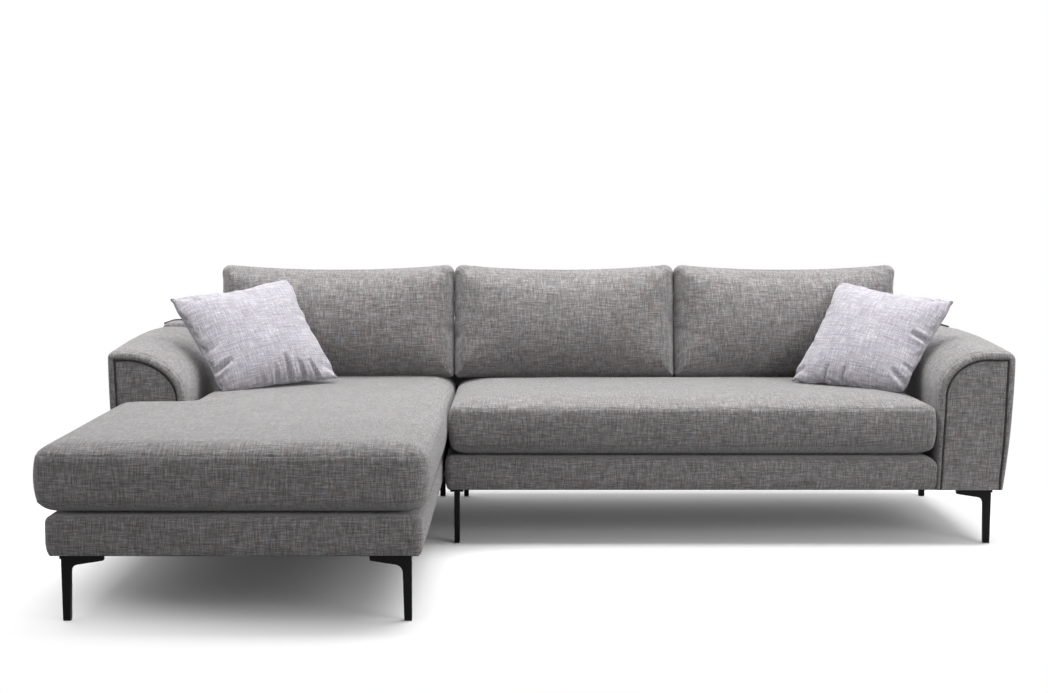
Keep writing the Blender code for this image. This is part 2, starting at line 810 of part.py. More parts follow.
def back(module, left_end):
    """Cover, rear piping and timber frame of one module's back."""
    top = BACK_TOP_Z
    inner_top = top - BACK_WALL
    rings = [flat_ring(back_outline(z, left_end, BACK_WALL), z) for z in (inner_top, COVER_Z)]
    for step in range(SIDE_STEPS + 1):
        z = COVER_Z + (top - BACK_EDGE - COVER_Z) * step / SIDE_STEPS
        rings.append(flat_ring(back_outline(z, left_end), z))
    rings.append(flat_ring(back_outline(top, left_end, BACK_EDGE), top))
    loft(f"{module}_back_cover", rings, tweed)

    # The cord lies on the middle of the slanting edge.
    seat = BACK_EDGE / 2 - (PIPING_RADIUS + TOUCH) * math.sqrt(0.5)
    path = flat_ring(back_outline(top, left_end, seat), top - seat)
    ends = sorted(range(len(path)), key=lambda i: abs(path[i].x - JUNCTION_X))[:2]
    front_end, rear_end = sorted(ends, key=lambda i: path[i].y)
    path = [p for i, p in enumerate(path) if i != front_end and p.y > BACK_Y + BACK_THICKNESS / 2]
    if left_end:
        path.append(Vector((path[-1].x, BACK_Y + 2 * BACK_EDGE, path[-1].z)))
    else:
        path.insert(0, Vector((path[0].x, BACK_Y + 2 * BACK_EDGE, path[0].z)))
    tube(f"{module}_back_piping", path, PIPING_RADIUS, 1, tweed)
    back_frame(f"{module}_back_frame", left_end)


def back_frame(name, left_end):
    """Boards on edge: posts between a top and a bottom rail, inside the cover."""
    clear = BACK_WALL + FRAME_CLEARANCE
    end = SIDE_TUCK + clear + BACK_CORNER / 3
    if left_end:
        x0, x1 = LEFT_X + end, JUNCTION_X - MODULE_GAP / 2 - clear
        bays = 2
    else:
        x0, x1 = JUNCTION_X + MODULE_GAP / 2 + clear, RIGHT_X - end
        bays = 3
    z0, z1 = TIMBER_Z, BACK_TOP_Z - BACK_WALL - TOUCH
    bay = (x1 - x0 - BACK_BOARD) / bays
    windows = []
    for index in range(bays):
        left = x0 + BACK_BOARD + bay * index
        windows.append((left, z0 + BACK_BOARD, left + bay - BACK_BOARD, z1 - BACK_BOARD))
    y0 = BACK_Y + BACK_WALL + FRAME_CLEARANCE
    y1 = REAR_Y - BACK_WALL - FRAME_CLEARANCE
    framed_board(name, rectangle(x0, z0, x1, z1), windows, y0, y1, True, timber)


# Cushions

def crowned_points(outline, rows, spacing):
    """Places inside an outline: rows beside its edge, then a staggered grid."""
    kept = []
    for distance in rows:
        edge = inset(outline, distance)
        for point in divided(edge, side_parts(edge, spacing)):
            apart = min([(point - other).length for other in kept] or [math.inf])
            if is_inside(point, outline) and apart > min(0.6 * spacing, distance):
                if edge_distance(point, outline) > 0.9 * distance:
                    kept.append(point)
    low = Vector((min(p.x for p in outline), min(p.y for p in outline)))
    high = Vector((max(p.x for p in outline), max(p.y for p in outline)))
    columns = max(1, round((high.x - low.x) / spacing))
    lines = max(1, round((high.y - low.y) / spacing))
    for line in range(1, lines):
        shift = 0.5 * (line % 2)
        for column in range(columns + 1):
            point = Vector((
                low.x + (high.x - low.x) * (column + shift) / columns,
                low.y + (high.y - low.y) * line / lines,
            ))
            apart = min([(point - other).length for other in kept] or [math.inf])
            if is_inside(point, outline) and apart > 0.6 * spacing:
                if edge_distance(point, outline) > rows[-1] + 0.4 * spacing:
                    kept.append(point)
    return kept


def cap(bm, loop, outline, inner, height):
    """Fills one end of a cushion: its seam stays, and the points inside it rise."""
    edges = [(i, (i + 1) % len(outline)) for i in range(len(outline))]
    found = delaunay_2d_cdt(outline + inner, edges, [], 1, 1e-7)
    places, triangles, sources = found[0], found[2], found[3]
    verts = []
    for spot, source in zip(places, sources):
        if source[0] < len(loop):
            verts.append(loop[source[0]])
        else:
            verts.append(bm.verts.new((spot.x, spot.y, height(spot))))
    for triangle in triangles:
        bm.faces.new([verts[i] for i in triangle])


def cushion(name, outline_at, profile, low_cap, high_cap, matrix, finish):
    """A stuffed form: rings of (inset, height) up its border, and a cap at each end.

    Each cap is (rows, spacing, height function); its places come from the end ring.
    """
    bm = bmesh.new()
    outlines = [outline_at(distance) for distance, _ in profile]
    loops = [
        [bm.verts.new((p.x, p.y, height)) for p in points]
        for points, (_, height) in zip(outlines, profile)
    ]
    for lower, upper in zip(loops, loops[1:]):
        for i, vert in enumerate(lower):
            after = (i + 1) % len(lower)
            bm.faces.new((vert, lower[after], upper[after], upper[i]))
    for loop, points, (rows, spacing, height) in (
        (loops[0], outlines[0], low_cap),
        (loops[-1], outlines[-1], high_cap),
    ):
        inner = crowned_points(points, rows, spacing) if rows else []
        cap(bm, loop, points, inner, height)
    bmesh.ops.recalc_face_normals(bm, faces=bm.faces)
    bm.transform(matrix)
    return place(name, mesh_of(bm, name), finish)


def crown(outline, base, rise, width):
    """A height that climbs steeply from the seam, then gently towards the middle."""
    def height(spot):
        apart = edge_distance(Vector(spot[:2]), outline)
        steep = math.sin(math.pi / 2 * min(1.0, apart / width)) ** 0.8
        gentle = math.sin(math.pi / 2 * min(1.0, apart / width / 2.2))
        return base + rise * (0.87 * steep + 0.13 * gentle)
    return height


def seat_cushion(name, corners):
    """A boxed seat cushion: a rolled lower edge, a border and a crowned top."""
    outline_at = shrinking(corners, SEAT_FACET)
    lower_seam = SEAT_LOWER_ROLL
    upper_seam = SEAT_LOWER_ROLL + SEAT_BORDER
    profile = [
        (SEAT_FOOT_INSET, 0.0),
        (SEAT_FOOT_INSET * 0.4, lower_seam * 0.2),
        (SEAT_BULGE, lower_seam),
        (0.0, (lower_seam + upper_seam) / 2),
        (SEAT_BULGE, upper_seam),
    ]
    rising = crown(outline_at(SEAT_BULGE), upper_seam, SEAT_CROWN, SEAT_CROWN_REACH)
    level = ((), 1.0, lambda spot: 0.0)
    domed = ((0.022, 0.06), SEAT_FACET, rising)
    matrix = Matrix.Translation((0, 0, SEAT_Z))
    return cushion(name, outline_at, profile, level, domed, matrix, tweed)


def seat_cushions():
    front = CHAISE_Y - SEAT_OVERHANG
    rear = BACK_Y - CUSHION_GAP
    chaise_right = JUNCTION_X - MODULE_GAP / 2 + CHAISE_RIGHT_OVERHANG
    seat_cushion("chaise_seat_cushion", [
        (CHAISE_LEFT - CHAISE_LEFT_OVERHANG, front, SEAT_CORNER),
        (chaise_right, front, SEAT_CORNER),
        (chaise_right, rear, SEAT_CORNER / 2),
        (SEAT_LEFT + CUSHION_GAP, rear, SEAT_CORNER / 2),
        (SEAT_LEFT + CUSHION_GAP, FRONT_Y - CUSHION_GAP, 0),
        (CHAISE_LEFT - CHAISE_LEFT_OVERHANG, FRONT_Y - CUSHION_GAP, SEAT_CORNER / 2),
    ])
    split = chaise_right + CUSHION_GAP
    seat_cushion("bench_seat_cushion", [
        (split, FRONT_Y - SEAT_OVERHANG, SEAT_CORNER / 2),
        (SEAT_RIGHT - CUSHION_GAP, FRONT_Y - SEAT_OVERHANG, SEAT_CORNER / 2),
        (SEAT_RIGHT - CUSHION_GAP, rear, SEAT_CORNER / 2),
        (split, rear, SEAT_CORNER / 2),
    ])


def dipped(outline, dips):
    """Draws each side in between its corners: dips are (direction, depth) pairs."""
    low = Vector((min(p.x for p in outline), min(p.y for p in outline)))
    high = Vector((max(p.x for p in outline), max(p.y for p in outline)))
    middle = (low + high) / 2
    half = (high - low) / 2
    moved = []
    for point in outline:
        u = (point.x - middle.x) / half.x
        v = (point.y - middle.y) / half.y
        shift = Vector((0, 0))
        for direction, depth in dips:
            facing = Vector(direction)
            outward = max(0.0, u * facing.x + v * facing.y)
            across = abs(u * facing.y + v * facing.x)
            shift -= facing * depth * outward ** 6 * (1 - across ** 2)
        moved.append(point + shift)
    return moved


def back_cushion(name, left, right):
    """A plump back cushion, leaning on the back, its top edge drawn in."""
    corners = [
        (left, 0, BACK_LOW_CORNER),
        (right, 0, BACK_LOW_CORNER),
        (right, BACK_CUSHION_HEIGHT, BACK_TOP_CORNER),
        (left, BACK_CUSHION_HEIGHT, BACK_TOP_CORNER),
    ]
    sides = [((0, 1), BACK_TOP_DIP), ((1, 0), BACK_SIDE_DIP), ((-1, 0), BACK_SIDE_DIP)]
    outline_at = shrinking(corners, BACK_FACET, lambda points: dipped(points, sides))
    half = BACK_CUSHION_DEPTH / 2
    profile = [
        (BACK_SEAM_LEDGE, -half),
        (0.0, -half * 0.6),
        (0.0, half * 0.6),
        (BACK_SEAM_LEDGE, half),
    ]
    seam = outline_at(BACK_SEAM_LEDGE)
    rear_crown = crown(seam, half, BACK_REAR_CROWN, 0.12)
    front_crown = crown(seam, half, BACK_FRONT_CROWN, 0.17)
    low_cap = ((0.04,), 2 * BACK_FACET, lambda spot: -rear_crown(spot))
    high_cap = ((0.02, 0.05), BACK_FACET, front_crown)
    lean = math.radians(BACK_CUSHION_LEAN)
    # The local z axis, the cushion's front, turns to face forwards and a little up.
    upright = Matrix.Rotation(math.radians(90) - lean, 4, "X")
    foot = Matrix.Translation((0, BACK_Y - 2 * BACK_CUSHION_DEPTH, CROWN_Z + BACK_CUSHION_DEPTH / 2))
    made = cushion(name, outline_at, profile, low_cap, high_cap, foot @ upright, tweed)
    seats = [bpy.data.objects[n] for n in ("chaise_seat_cushion", "bench_seat_cushion")]
    backs = [bpy.data.objects[n] for n in ("chaise_back_cover", "main_back_cover")]
    down = (0.0, -math.sin(lean), -math.cos(lean))
    for _ in range(2):
        rest(made, backs, (0, 1, 0), BACK_CUSHION_EASE)
        rest(made, seats, down)
    return made


def back_cushions():
    first = SEAT_LEFT + BACK_CUSHION_WIDTH
    last = SEAT_RIGHT - BACK_CUSHION_NARROW
    half = BACK_CUSHION_GAP / 2
    back_cushion("left_back_cushion", SEAT_LEFT + BACK_CUSHION_GAP, first - half)
    back_cushion("middle_back_cushion", first + half, last - half)
    back_cushion("right_back_cushion", last + half, SEAT_RIGHT - BACK_CUSHION_GAP)


def scatter_cushion(name, centre, yaw, roll, seat):
    """A knife-edged square cushion with drawn-in sides and pointed corners."""
    half = SCATTER_SIZE / 2
    square = [(x * half, y * half, SCATTER_TIP) for x, y in ((-1, -1), (1, -1), (1, 1), (-1, 1))]
    sides = [(d, SCATTER_DIP) for d in ((0, 1), (0, -1), (1, 0), (-1, 0))]
    outline_at = shrinking(square, SCATTER_FACET, lambda points: dipped(points, sides))
    seam = SCATTER_SEAM / 2
    profile = [(0.0, -seam), (0.0, seam)]
    swell = crown(outline_at(0.0), seam, SCATTER_CROWN, half * 0.95)
    low_cap = ((0.02, 0.05), SCATTER_FACET, lambda spot: -swell(spot))
    high_cap = ((0.02, 0.05), SCATTER_FACET, swell)
    facing = (
        Matrix.Rotation(math.radians(yaw), 4, "Z")
        @ Matrix.Rotation(math.radians(90 - SCATTER_RECLINE), 4, "X")
        @ Matrix.Rotation(math.radians(roll), 4, "Z")
    )
    matrix = Matrix.Translation(centre) @ facing
    made = cushion(name, outline_at, profile, low_cap, high_cap, matrix, pale_weave)
    return rest(made, [bpy.data.objects[seat]], (0, 0, -1))


def scatter_cushions():
    """Each stands diagonally across its corner, let down from above onto the seat."""
    above = CROWN_Z + SCATTER_SIZE
    centre = (SEAT_LEFT + LEFT_SCATTER_IN, FRONT_Y + LEFT_SCATTER_BACK, above)
    turn = (LEFT_SCATTER_YAW, LEFT_SCATTER_ROLL)
    scatter_cushion("left_scatter_cushion", centre, *turn, "chaise_seat_cushion")
    centre = (SEAT_RIGHT - RIGHT_SCATTER_IN, FRONT_Y + RIGHT_SCATTER_BACK, above)
    turn = (-RIGHT_SCATTER_YAW, -RIGHT_SCATTER_ROLL)
    scatter_cushion("right_scatter_cushion", centre, *turn, "bench_seat_cushion")


# Legs

def leg_outline():
    """The leg's side view: a post, and an arm along the base with a round fillet."""
    top = LEG_RISE
    foot_slope = LEG_POST_TOP - LEG_POST_FOOT
    inner_top = LEG_POST_TOP
    root = top - LEG_ROOT_HEIGHT
    corner = Vector((inner_top, root))
    tip = Vector((LEG_ARM_LENGTH, top - LEG_TIP_HEIGHT))
    along = (tip - corner).normalized()
    down = (Vector((LEG_POST_FOOT, 0)) - corner).normalized()
    half = along.angle(down) / 2
    centre = corner + (along + down).normalized() * LEG_FILLET / math.sin(half)
    start = corner + along * LEG_FILLET / math.tan(half) - centre
    end = corner + down * LEG_FILLET / math.tan(half) - centre
    sweep = start.angle_signed(end)
    points = [Vector((foot_slope * LEG_OUTER_SLOPE, 0)), Vector((LEG_POST_FOOT, 0))]
    arc = [centre + Matrix.Rotation(-sweep * s / LEG_STEPS, 2) @ start for s in range(LEG_STEPS + 1)]
    points += reversed(arc)
    points += [tip, Vector((LEG_ARM_LENGTH, top - LEG_PLATE)), Vector((0, top - LEG_PLATE))]
    return points


def leg(name, corner, turn):
    """One leg and its glide; corner is its outer foot, turn the arm's heading."""
    profile = leg_outline()
    half = LEG_THICKNESS / 2
    bm = bmesh.new()
    loops = [[bm.verts.new((p.x, y, p.y)) for p in profile] for y in (-half, half)]
    for i in range(len(profile)):
        after = (i + 1) % len(profile)
        bm.faces.new((loops[0][i], loops[0][after], loops[1][after], loops[1][i]))
    bm.faces.new(loops[0])
    bm.faces.new(reversed(loops[1]))
    bmesh.ops.recalc_face_normals(bm, faces=bm.faces)
    plate = bmesh.new()
    deep = LEG_PLATE_DEPTH / 2
    low = (0, -deep, LEG_RISE - LEG_PLATE - JOIN)
    box_mesh(plate, low, (LEG_ARM_LENGTH, deep, LEG_RISE - TOUCH))
    foot = Matrix.Translation((*corner, GLIDE_HEIGHT))
    matrix = foot @ Matrix.Rotation(math.radians(turn), 4, "Z")
    bm.transform(matrix)
    plate.transform(matrix)
    obj = place(name, mesh_of(bm, name), black_steel)
    boolean(obj, place(name + "_plate", mesh_of(plate, name), black_steel), "UNION")

    pad = bmesh.new()
    low = (GLIDE_MARGIN, -half + GLIDE_MARGIN, -GLIDE_HEIGHT)
    high = (LEG_POST_FOOT - GLIDE_MARGIN / 2, half - GLIDE_MARGIN, -TOUCH)
    box_mesh(pad, low, high)
    pad.transform(matrix)
    glide = name.replace("_leg", "_glide")
    return place(glide, mesh_of(pad, glide), black_plastic)


def legs():
    half = LEG_THICKNESS / 2
    front = FRONT_Y + LEG_SETBACK + half
    rear = REAR_Y - LEG_SETBACK - half
    chaise_front = CHAISE_Y + LEG_SETBACK + half
    left = LEFT_X + SIDE_TUCK + ARM_LEG_INSET
    right = RIGHT_X - SIDE_TUCK - ARM_LEG_INSET
    chaise_right = JUNCTION_X - MODULE_GAP / 2 - LEG_END_INSET
    main_left = JUNCTION_X + MODULE_GAP / 2 + JUNCTION_LEG_INSET
    leg("chaise_front_left_leg", (CHAISE_LEFT + LEG_END_INSET, chaise_front), 0)
    leg("chaise_front_right_leg", (chaise_right, chaise_front), 180)
    leg("chaise_rear_left_leg", (left, rear), 0)
    leg("chaise_rear_right_leg", (chaise_right, rear), 180)
    leg("main_front_left_leg", (main_left, front - half), 90)
    leg("main_rear_left_leg", (main_left, rear + half), -90)
    leg("main_front_right_leg", (right, front), 180)
    leg("main_rear_right_leg", (right, rear), 180)


# Connectors between the modules

def connectors():
    """A tongue on the chaise's side drops into a slotted plate on the other module."""
    z = COVER_Z + BASE_HEIGHT * 0.5
    face = JUNCTION_X - MODULE_GAP / 2 + TOUCH
    other = JUNCTION_X + MODULE_GAP / 2 - TOUCH
    for end, along in (("front", CONNECTOR_FRONT), ("rear", CONNECTOR_REAR)):
        centre = Vector((face, FRONT_Y + along, z))
        plate = Vector((0, CONNECTOR_LENGTH / 2, CONNECTOR_HEIGHT / 2))
        low = centre - plate
        high = centre + plate
        high.x += CONNECTOR_PLATE
        hook = box(f"{end}_connector_hook", low, high, black_steel)
        tongue = Vector((0, CONNECTOR_TONGUE / 2, CONNECTOR_TONGUE_HEIGHT / 2))
        tongue_low = centre - tongue
        tongue_low.x = high.x - JOIN
        tongue_high = centre + tongue
        tongue_high.x = other - CONNECTOR_REACH
        boolean(hook, box(f"{end}_tongue", tongue_low, tongue_high, black_steel), "UNION")
        low.x = other - CONNECTOR_PLATE
        high.x = other
        socket = box(f"{end}_connector_socket", low, high, black_steel)
        slot_low = tongue_low - Vector((0, TOUCH, TOUCH))
        slot_high = tongue_high + Vector((CUT_PAST, TOUCH, TOUCH))
        boolean(socket, box(f"{end}_slot", slot_low, slot_high, black_steel), "DIFFERENCE")


def build():
    clear_scene()
    chaise_module_base()
    main_module_base()
    dust_covers()
    arm("left", True)
    arm("right", False)
    back("chaise", True)
    back("main", False)
    seat_cushions()
    back_cushions()
    scatter_cushions()
    legs()
    connectors()


build()
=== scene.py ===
"""Looks of the corner sofa: cloth covers, stuffed cushions, steel legs and a pale studio.

Metres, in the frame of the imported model: +X right as seen from the front, +Y to the rear, +Z up.
"""

import json
import math

import bmesh
import bpy
import numpy as np
from mathutils import Matrix, Vector, noise
from mathutils.geometry import delaunay_2d_cdt

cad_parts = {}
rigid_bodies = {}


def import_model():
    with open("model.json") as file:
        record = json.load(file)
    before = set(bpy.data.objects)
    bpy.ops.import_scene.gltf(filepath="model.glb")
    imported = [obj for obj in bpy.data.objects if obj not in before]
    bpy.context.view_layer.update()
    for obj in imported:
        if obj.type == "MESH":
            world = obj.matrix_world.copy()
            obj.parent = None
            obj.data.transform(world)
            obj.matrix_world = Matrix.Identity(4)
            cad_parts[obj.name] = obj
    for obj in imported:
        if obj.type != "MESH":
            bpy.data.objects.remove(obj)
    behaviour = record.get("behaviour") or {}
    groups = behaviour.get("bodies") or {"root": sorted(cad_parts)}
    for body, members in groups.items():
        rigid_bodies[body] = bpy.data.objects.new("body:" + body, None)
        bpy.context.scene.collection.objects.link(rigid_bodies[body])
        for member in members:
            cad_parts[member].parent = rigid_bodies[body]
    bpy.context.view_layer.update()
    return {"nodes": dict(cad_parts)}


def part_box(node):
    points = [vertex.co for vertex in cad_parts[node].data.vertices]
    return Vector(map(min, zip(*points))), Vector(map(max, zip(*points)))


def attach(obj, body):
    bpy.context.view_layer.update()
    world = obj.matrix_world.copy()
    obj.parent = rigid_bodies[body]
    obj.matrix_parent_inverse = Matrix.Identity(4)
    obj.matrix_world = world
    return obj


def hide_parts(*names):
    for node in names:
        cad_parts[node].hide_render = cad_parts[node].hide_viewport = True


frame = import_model()

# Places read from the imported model
ARM_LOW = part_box("right_arm_cover")[0]
MAIN_LOW, MAIN_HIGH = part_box("main_base_cover")
CHAISE_LOW, CHAISE_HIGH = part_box("chaise_base_cover")
BACK_LOW, BACK_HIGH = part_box("main_back_cover")
CHAISE_BACK_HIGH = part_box("chaise_back_cover")[1]
BENCH_LOW, BENCH_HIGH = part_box("bench_seat_cushion")
CHAISE_SEAT_LOW, CHAISE_SEAT_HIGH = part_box("chaise_seat_cushion")

FRONT_Y = ARM_LOW.y
BACK_Y = BACK_LOW.y
REAR_Y = BACK_HIGH.y
RIGHT_X = BACK_HIGH.x
SEAT_RIGHT = ARM_LOW.x
SEAT_LEFT = -SEAT_RIGHT
COVER_Z = MAIN_LOW.z
DECK_Z = MAIN_HIGH.z
BACK_TOP_Z = BACK_HIGH.z
SEAT_Z = BENCH_LOW.z
CROWN_Z = BENCH_HIGH.z
TOUCH = 0.0003

# Arms
ARM_HEIGHT = 0.428
ARM_RISE = 0.027
ARM_CREST = 0.75
ARM_TOP_Z = COVER_Z + ARM_HEIGHT
ARM_OUTER_RADIUS = {"left": 0.016, "right": 0.026}
# The rounded inner shoulder: how far across the arm and how far down it goes.
ARM_SHOULDER = {"left": (0.185, 0.146), "right": (0.150, 0.138)}
ARM_ROLL = 0.016
GROOVE_ROLL = 0.0045
ARM_SEAM = 0.0045
SIDE_TUCK = 0.029
BAND_WIDTH = 0.021
BAND_TAPER = 0.016
PANEL_SETBACK = 0.003
PANEL_THICKNESS = 0.008
# The panel's rolled edge: (inset, depth behind its face), and how far it goes under the piping.
PANEL_EDGE = ((0.0, 0.0022), (0.0005, 0.0010), (0.0016, 0.0003), (0.0032, 0.0))
PANEL_TIGHT = 0.001
PANEL_PUFF = 0.0018
PANEL_PUFF_REACH = 0.03
PIPING_RADIUS = 0.0034
# How far the piping is sunk into the groove round it.
PIPING_SUNK = 0.0004

# Covers
BASE_CORNER = 0.024
BASE_EDGE = 0.019
BASE_TUCK = 0.006
DECK_CROWN = 0.004
DECK_REACH = 0.09
END_DIP = 0.012
END_DIP_WIDTH = 0.035
BACK_EDGE = 0.014
BACK_CORNER = 0.035
# Lift of the back's top edge along x. It stays over the timber, which lies 14 mm under it.
BACK_CREST = (
    (-1.40, 0.002), (-1.388, 0.006), (0.75, 0.0),
    (1.0, -0.005), (1.2, -0.009), (1.4, -0.009),
)
# The piping on a back's top edge: how far in from the side and above the top its centre lies.
BACK_WELT = (0.004, 0.0012)
# Hems at the foot of a base and a back: (inset beyond the tuck, height).
BASE_HEM = ((0.004, 0.0), (0.001, 0.0008), (0.0, 0.004))
BACK_HEM = ((0.006, 0.0), (0.0012, 0.001), (0.0, 0.005))

# Seat cushions
LOWER_SEAM = 0.032
UPPER_SEAM = 0.149
SEAT_BULGE = 0.007
SEAT_FOOT_INSET = 0.075
SEAT_FOOT_SLANT = 0.25
SEAT_CORNER = 0.055
BENCH_CROWN_REACH = 0.15
CHAISE_CROWN_REACH = 0.068
# The chaise cushion's outer side, in from the solid's at its front and at its step.
CHAISE_SLANT = (0.022, -0.004)
SEAM_DEPTH = 0.0030
SEAM_WIDTH = 0.0018

# Gathers along the seams: fineness of their noise, depth, and reach on the border and the top.
GATHERS = 38.0
GATHER_DEPTH = 0.0007
GATHER_BORDER = 0.012
GATHER_TOP = 0.014
# Slow waves of a seat's top: depth, distance from the seam to their full depth, and fineness.
SEAT_SWAY = 0.0022
SEAT_SWAY_REACH = 0.10
SEAT_SWAY_SCALE = 4.2

# Mesh fineness
ARC = 8
CLOTH_SPACING = 0.0125
SOFT_STEP = 0.006
WELD = 0.00002
BASE_PART = 0.03
BACK_PART = 0.05
ARM_PIPING_STEP = 0.006
BACK_PIPING_STEP = 0.007
# Rows of points beside a panel's edge, and the spacing inside them.
PANEL_MESH = ((0.006, 0.013), 0.014)
DECK_MESH = ((0.02, 0.045, 0.08), 0.05)
BACK_MESH = ((0.012,), 0.03)
SEAT_MESH = ((0.0022, 0.0055, 0.011, 0.019), CLOTH_SPACING)

# Faint unevenness of taut cloth: share and fineness of its finer part.
FINE_SHARE = 0.35
FINE_SCALE = 4


def quarter(count):
    """Angles from 0 to 90 degrees, in radians."""
    return np.radians(np.linspace(0, 90, count))


def travelled(path):
    """The length along a path at each of its points."""
    return np.concatenate([[0], np.cumsum(np.linalg.norm(np.diff(path, axis=0), axis=1))])


def sides(outline):
    return np.linalg.norm(np.roll(outline, -1, 0) - outline, axis=1)


def closed(ring):
    return np.concatenate([ring, ring[:1]])


# Outlines: arrays of 2D points, anticlockwise

def rounded(corners, steps=ARC):
    """An outline from (x, y, radius) corners, each radius drawn as an arc."""
    points = []
    count = len(corners)
    for i, (x, y, radius) in enumerate(corners):
        here = Vector((x, y))
        if radius <= 0:
            points.append(here)
            continue
        before = (Vector(corners[i - 1][:2]) - here).normalized()
        after = (Vector(corners[(i + 1) % count][:2]) - here).normalized()
        half = before.angle(after) / 2
        centre = here + (before + after).normalized() * radius / math.sin(half)
        start = here + before * radius / math.tan(half) - centre
        end = here + after * radius / math.tan(half) - centre
        sweep = start.angle_signed(end)
        for step in range(steps + 1):
            points.append(centre + Matrix.Rotation(-sweep * step / steps, 2) @ start)
    return np.array(points)


def inset(points, distance):
    """The outline moved inwards by a distance, or outwards by a negative one."""
    along = points - np.roll(points, 1, 0)
    along /= np.linalg.norm(along, axis=1)[:, None]
    onward = np.roll(along, -1, 0)
    normal = np.stack([-along[:, 1], along[:, 0]], 1)
    other = np.stack([-onward[:, 1], onward[:, 0]], 1)
    mitre = (normal + other) / (1 + (normal * other).sum(1))[:, None]
    return points + mitre * distance


def shrunk(corners, distance, steps=ARC):
    """The rounded outline with its sides moved inwards; its corners keep some radius."""
    moved = inset(np.array([corner[:2] for corner in corners], float), distance)
    ring = []
    for (x, y), (_, _, radius) in zip(moved, corners):
        ring.append((x, y, max(0.4 * radius, radius - distance)))
    return rounded(ring, steps)


def parts_of(points, longest):
    """How many parts each side is cut into so that none is longer than asked."""
    return np.ceil(sides(points) / longest).astype(int)


def divided(points, parts):
    """The outline with each side cut into its number of equal parts."""
    dense = []
    for here, there, count in zip(points, np.roll(points, -1, 0), parts):
        share = np.arange(count)[:, None] / count
        dense.append(here + (there - here) * share)
    return np.concatenate(dense)


def distance_to(spots, outline):
    """The distance of each spot from the outline."""
    start = outline
    side = np.roll(outline, -1, 0) - outline
    square = (side ** 2).sum(1)
    offset = spots[:, None, :] - start[None]
    along = np.clip((offset * side[None]).sum(2) / square[None], 0, 1)
    return np.linalg.norm(offset - side[None] * along[..., None], axis=2).min(1)


def soft_distance(spots, outline):
    """Like distance_to, but without ridges where two sides are equally near.

    Sums the fourth power of nearness over small parts of the outline.
    """
    fine = divided(outline, parts_of(outline, SOFT_STEP))
    part = sides(fine)
    middle = (fine + np.roll(fine, -1, 0)) / 2
    exact = distance_to(spots, outline)
    near = np.zeros(len(spots))
    for start in range(0, len(spots), 1000):
        block = slice(start, start + 1000)
        square = ((spots[block, None] - middle[None]) ** 2).sum(2) + 1e-9
        near[block] = (part / square ** 2).sum(1)
    soft = (near * 2 / math.pi) ** (-1 / 3)
    share = np.clip((exact - SOFT_STEP) / SOFT_STEP, 0, 1)
    return exact + (soft - exact) * share


def inside(spots, outline):
    """Whether each spot lies inside the outline."""
    start, end = outline, np.roll(outline, -1, 0)
    x, y = spots[:, 0][:, None], spots[:, 1][:, None]
    crosses = (start[:, 1] > y) != (end[:, 1] > y)
    rise = np.where(end[:, 1] == start[:, 1], 1e-12, end[:, 1] - start[:, 1])
    at = start[:, 0] + (y - start[:, 1]) * (end[:, 0] - start[:, 0]) / rise
    return (crosses & (x < at)).sum(1) % 2 == 1


def filling(outline, rows=(), spacing=CLOTH_SPACING):
    """Points and triangles that fill an outline, with closer rows beside its edge."""
    found = [outline]
    for distance in rows:
        row = inset(outline, distance)
        keep = inside(row, outline) & (distance_to(row, outline) > 0.9 * distance)
        found.append(row[keep])
    if rows:
        low, high = outline.min(0), outline.max(0)
        tall = spacing * math.sqrt(0.75)
        lines = []
        for index, y in enumerate(np.arange(low[1], high[1], tall)):
            x = np.arange(low[0] + spacing * 0.5 * (index % 2), high[0], spacing)
            lines.append(np.stack([x, np.full_like(x, y)], 1))
        grid = np.concatenate(lines)
        grid = grid[inside(grid, outline)]
        found.append(grid[distance_to(grid, outline) > rows[-1] + 0.55 * spacing])
    points = np.concatenate(found)
    count = len(outline)
    edges = [(i, (i + 1) % count) for i in range(count)]
    result = delaunay_2d_cdt([Vector(p) for p in points], edges, [], 1, 1e-7)
    return np.array([tuple(p) for p in result[0]]), result[2]


# Meshes with cloth coordinates

